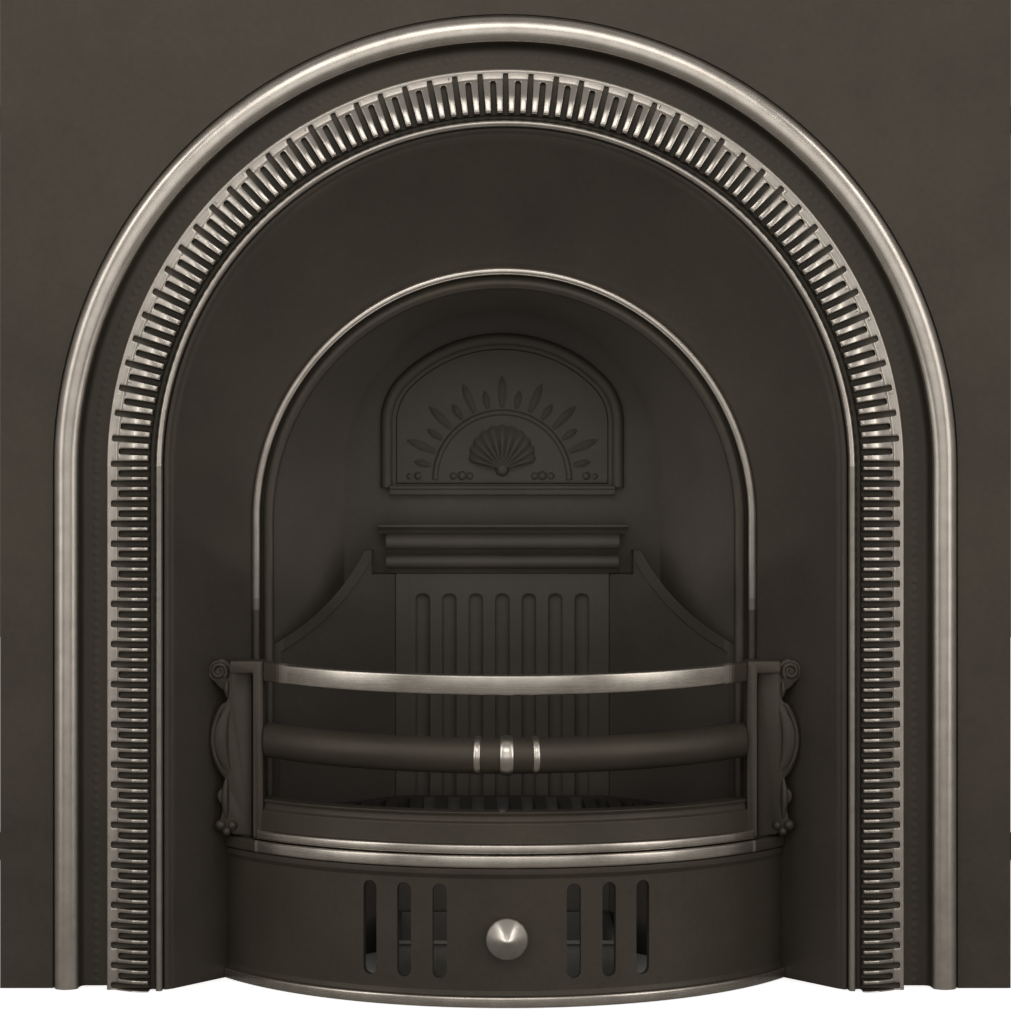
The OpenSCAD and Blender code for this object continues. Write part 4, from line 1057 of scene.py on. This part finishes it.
def roll(points, widths, lift):
    # a round bar of changing thickness that lies on the bracket's face and follows a path of (x, z)
    rings = []
    for (x, z), t, w in zip(points, tangents(points), widths):
        ring = []
        for b in range(0, 360, 30):
            d = bracket["frontD"] - 0.5 + lift * w * max(sinD(b), -0.2)
            ring.append(place(min(x + t.y * w * cosD(b), splayLimit(d) - 0.4), d, z - t.x * w * cosD(b)))
        rings.append(ring)
    return loft(rings)


def bracketCasting(name, side, p=bracket):
    line = bracketOutline()
    rings = []
    for d, inset in ((p["frontD"], 1.1), (p["frontD"] - 0.45, 0.35), (p["frontD"] - 1.3, 0.0), (p["backD"], 0.0)):
        ring = []
        for (x, z), t in zip(line, tangents(line, closed=True)):
            out = Vector((t.y, -t.x))
            turned = out.x < 0 if x > p["stemX"] else out.x > 0.9
            out = -out if turned else out
            ring.append(place(min(x - out.x * inset, splayLimit(d) - 0.35), d, z - out.y * inset))
        rings.append(ring)

    def wing(r, a):
        return (p["wingX"] + r * cosD(a), p["wingZ"] + r * sinD(a))

    def curl(t):
        r, a = p["earR"] - 4.6 * t, 225 - 470 * t
        return (p["earAt"][0] + r * cosD(a), p["earAt"][1] + r * sinD(a))

    # the wing swells to a rounded crescent with a rolled outer rim
    angles = [41 - 82 * i / 30 for i in range(31)]
    swell = [1 - (a / 43) ** 2 for a in angles]
    parts = [loft(rings),
             roll([wing(47.5 - 2.5 * k, a) for a, k in zip(angles, swell)], [1.0 + 7.0 * k for k in swell], 0.42),
             roll([wing(52.6, a) for a in angles], [0.8 + 1.9 * k for k in swell], 1.3)]
    # the ear's curl, the leaf under it, the stem's knop and the three balls of the foot
    turns = [i / 24 for i in range(25)]
    parts += [roll([curl(t) for t in turns], [3.1 - 1.0 * t for t in turns], 1.15),
              roll([(268.5 + 1.5 * math.sin(t * 3.1), 292 - 18 * t) for t in turns],
                   [0.6 + 2.2 * math.sin(math.pi * t) for t in turns], 1.0),
              roll([(270 + 1.2 * math.sin(t * 3.1), 197 - 40 * t) for t in turns],
                   [0.8 + 3.0 * math.sin(math.pi * t) ** 0.7 for t in turns], 1.0)]
    for x, z, r in ((275.6, 151, 5.6), (263.8, 150.6, 5.2), (269.6, 144.8, 4.6)):
        parts.append(dome(place(x, p["frontD"] - 2, z), r, sink=0.6))
    if side < 0:
        parts = [mirrored(part) for part in parts]
    return meshObject(name, parts, 40)


dress(bracketCasting("leftScrollBracket", -1), blackIron, "surround", "black_iron", "left_bracket")
dress(bracketCasting("rightScrollBracket", 1), blackIron, "surround", "black_iron", "right_bracket")
print("brackets made")

# ash pan cover, knob

cover = {"height": 139.4, "rimH": 11.5, "splayGap": 1.0, "slotW": 13.5, "slotLow": 25.5, "slotHigh": 113,
         "firstSlot": 10.7, "slotPitch": 5.85, "rimIn": 333.6, "lowRimZ": (0.05, 9.9), "topRimFade": (241, 237),
         "knobZ": 64.5, "knobSeatR": 332.85, "knobPaintedShade": 0.52}


def coverEnd(rho, gap):
    # how far round, in degrees, a line of this plan radius runs before it meets the splay
    low, high = 30.0, 56.0
    for _ in range(24):
        a = (low + high) / 2
        d = rho * cosD(a) - bow["behind"]
        if d >= reveal["frontD"] or rho * sinD(a) < splayLimit(d) - gap:
            low = a
        else:
            high = a
    return low


def coverCasting(p):
    h = p["height"]
    rim = h - p["rimH"]
    profile = rounded([(327, 0, 0.5), (338, 0, 2.0), (338, 9.6, 2.0), (333.9, 10.6, 0.8), (332.8, 15, 2),
                       (332.8, rim - 10, 3), (334.8, rim - 6, 1.5), (334.8, rim - 0.8, 0.6), (332.8, rim - 0.6, 0.3),
                       (332.8, rim, 0.2), (337, rim, 2.2), (337, h, 2.2), (327, h, 0.5)], 5)
    ends = [coverEnd(rho, p["splayGap"]) for rho, z in profile]
    steps = 140
    rings = [[onBow(rho, math.radians(end * (2 * i / steps - 1)), z) for (rho, z), end in zip(profile, ends)]
             for i in range(steps + 1)]
    return meshObject("ashPanCoverCasting", [loft(rings)], 32)


def slotShape(angle, p):
    # a long round-ended slot, cut square to the bow at its place
    r = p["slotW"] / 2
    outline = arc(0, p["slotLow"] + r, r, 180, 360, 14) + arc(0, p["slotHigh"] - r, r, 0, 180, 14)
    c, s = cosD(angle), sinD(angle)
    return loft([[((u * c + rho * s) * mm, bowY + (u * s - rho * c) * mm, z * mm) for u, z in outline]
                 for rho in (320, 345)])


def cutWith(obj, cutter, sharpAngle):
    modifier = obj.modifiers.new("cut", "BOOLEAN")
    modifier.operation = "DIFFERENCE"
    modifier.solver = "EXACT"
    modifier.object = cutter
    obj.data = baked(obj, modifier)
    bpy.data.objects.remove(cutter)
    shadeMesh(obj.data, sharpAngle)


def coverPolish(x, d, z, p=cover):
    # the lower rim all along, the upper one up to the brackets
    if bowRadius(x, d) < p["rimIn"]:
        return 0
    low, high = p["lowRimZ"]
    return low < z < high or (z > p["height"] - p["rimH"] + 0.1) * share(abs(x), *p["topRimFade"])


coverPiece = coverCasting(cover)
slots = meshObject("slotShapes", [slotShape(side * (cover["firstSlot"] + i * cover["slotPitch"]), cover)
                                  for i in range(3) for side in (-1, 1)])
cutWith(coverPiece, slots, 32)
polishFaces(coverPiece, coverPolish)
dress(coverPiece, barIron, "ash_pan_cover", "black_iron", "ash_pan_cover")

knobProfile = [(0.01, 0), (8.6, 0), (8.6, 1.2), (7.4, 2.6), (6.8, 5.2), (9.0, 7.0), (16.8, 8.0), (18.6, 8.6),
               (19.2, 9.6), (19.3, 10.8), (18.9, 12.0), (18.0, 13.2), (9.5, 20.2), (1.6, 26.6), (0.6, 27.0),
               (0.01, 27.1)]
knobSeat = place(0, cover["knobSeatR"] - bow["behind"], cover["knobZ"])
knob = meshObject("coverKnob", [lathe(knobProfile, knobSeat, (0, -1, 0), 96)], 40)
# the knob's polish is lowered on its lower half, painted shade on its underside
polishFaces(knob, lambda x, d, z: blend(cover["knobPaintedShade"], 1, share(z, cover["knobZ"] - 3, cover["knobZ"] + 3)))
dress(knob, knobIron, "ash_pan_cover", "polished_iron", "cover_knob")
print("ash pan cover made")

# CAD nodes that stay as they are

carried = {
    plateIron: ["front_plate", "bar_rivets"],
    sootyIron: ["left_cheek", "right_cheek"],
    grateIronPaintedShade: ["bottom_grate", "grate_carrier"],
    darkSteel: ["hinge_pins", "bracket_bolts", "knob_stud", "knob_nut", "frame_studs", "frame_nuts", "moulding_studs",
                "moulding_nuts", "throat_bolts", "throat_nuts", "fireback_bolts", "fireback_nuts"],
    sheetSteel: ["ash_pan", "pan_handle"],
}
for material, names in carried.items():
    for name in names:
        coat(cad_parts[name], material)
print("carried-over nodes dressed")

# floor, light, camera

warmWhite = (1.0, 0.95, 0.88)
sweep = {"half": 6, "drop": 0.0005, "shadeR": 0.333, "glow": 0.80, "rough": 0.75,
         "seenColour": (0.86, 0.86, 0.85), "litColour": (0.28, 0.27, 0.255)}


def studioFloor(p):
    material, tree = newMaterial("paleFloor")
    # the pale sweep lies round the fireplace; the hearth behind the ash pan cover stays in shade
    onFloor = addNode(tree, "ShaderNodeTexCoord").outputs["Object"]
    fromBow = addNode(tree, "ShaderNodeVectorMath", {0: onFloor, 1: (0, bowY, 0)}, operation="DISTANCE")
    outside = mathNode(tree, "GREATER_THAN", fromBow.outputs["Value"], p["shadeR"])
    seen = addNode(tree, "ShaderNodeLightPath").outputs["Is Camera Ray"]
    # only the camera sees the glow and the pale colour, so that the iron isn't lit from below
    setShader(tree, {"Roughness": p["rough"], "Emission Color": (1, 1, 1),
                     "Emission Strength": times(tree, times(tree, seen, outside), p["glow"]),
                     "Base Color": mixNode(tree, seen, p["litColour"], p["seenColour"])})
    mesh = bpy.data.meshes.new("studioFloor")
    corners = [(x * p["half"], y * p["half"], -p["drop"]) for x, y in ((-1, -1), (1, -1), (1, 1), (-1, 1))]
    mesh.from_pydata(corners, [], [(0, 1, 2, 3)])
    mesh.materials.append(material)
    return linked("studioFloor", mesh)


studioFloor(sweep)

world = bpy.data.worlds.new("studio")
world.use_nodes = True
for name, value in (("Color", warmWhite), ("Strength", 0.23)):
    feed(world.node_tree, world.node_tree.nodes["Background"].inputs[name], value)
scene.world = world
scene.view_settings.view_transform = "Standard"

lights = {
    "frontBox": {"at": (-0.1, -2.10, 1.82), "aim": (0, 0, 0.75), "size": (1.8, 0.7), "power": 8.0},
    "fillBox": {"at": (0, -2.95, 0.48), "aim": (0, 0, 0.42), "size": (2.8, 1.6), "power": 9},
    "rightBox": {"at": (1.85, -1.50, 0.85), "aim": (0.3, 0, 0.5), "size": (0.9, 1.6), "power": 7.0},
    "leftBox": {"at": (-1.95, -1.45, 0.85), "aim": (-0.3, 0, 0.5), "size": (0.9, 1.6), "power": 6.0},
    "highRight": {"at": (1.30, -0.95, 1.60), "aim": (0, -0.2, 0.1), "size": (0.5, 0.5), "power": 1.7},
    "highLeft": {"at": (-1.30, -0.95, 1.60), "aim": (0, -0.2, 0.1), "size": (0.5, 0.5), "power": 1.7},
    "boxFill": {"at": (0, faceY + 0.05, 0.40), "aim": (0, 0.14, 0.66), "size": (0.34, 0.10), "power": 0.09},
    "pitFill": {"at": (0, faceY - 0.02, 0.085), "aim": (0, 0.2, 0.07), "size": (0.24, 0.07), "power": 0.14},
}
for name, look in lights.items():
    light = bpy.data.lights.new(name, "AREA")
    light.shape = "RECTANGLE"
    light.size, light.size_y = look["size"]
    light.energy = look["power"]
    light.color = warmWhite
    obj = linked(name, light)
    obj.location = look["at"]
    obj.rotation_euler = (Vector(look["aim"]) - Vector(look["at"])).to_track_quat("-Z", "Y").to_euler()

# straight in front, a little left of the middle, as the photograph's perspective shows
view = {"at": (-0.035, -2.261, 0.457), "lens": 81.4, "sensor": 36, "shiftX": 0.0361}
cameraData = bpy.data.cameras.new("camera")
cameraData.lens = view["lens"]
cameraData.sensor_width = view["sensor"]
cameraData.shift_x = view["shiftX"]
camera = linked("camera", cameraData)
camera.location = view["at"]
camera.rotation_euler = (math.radians(90), 0, 0)
scene.camera = camera
print("light and camera placed")
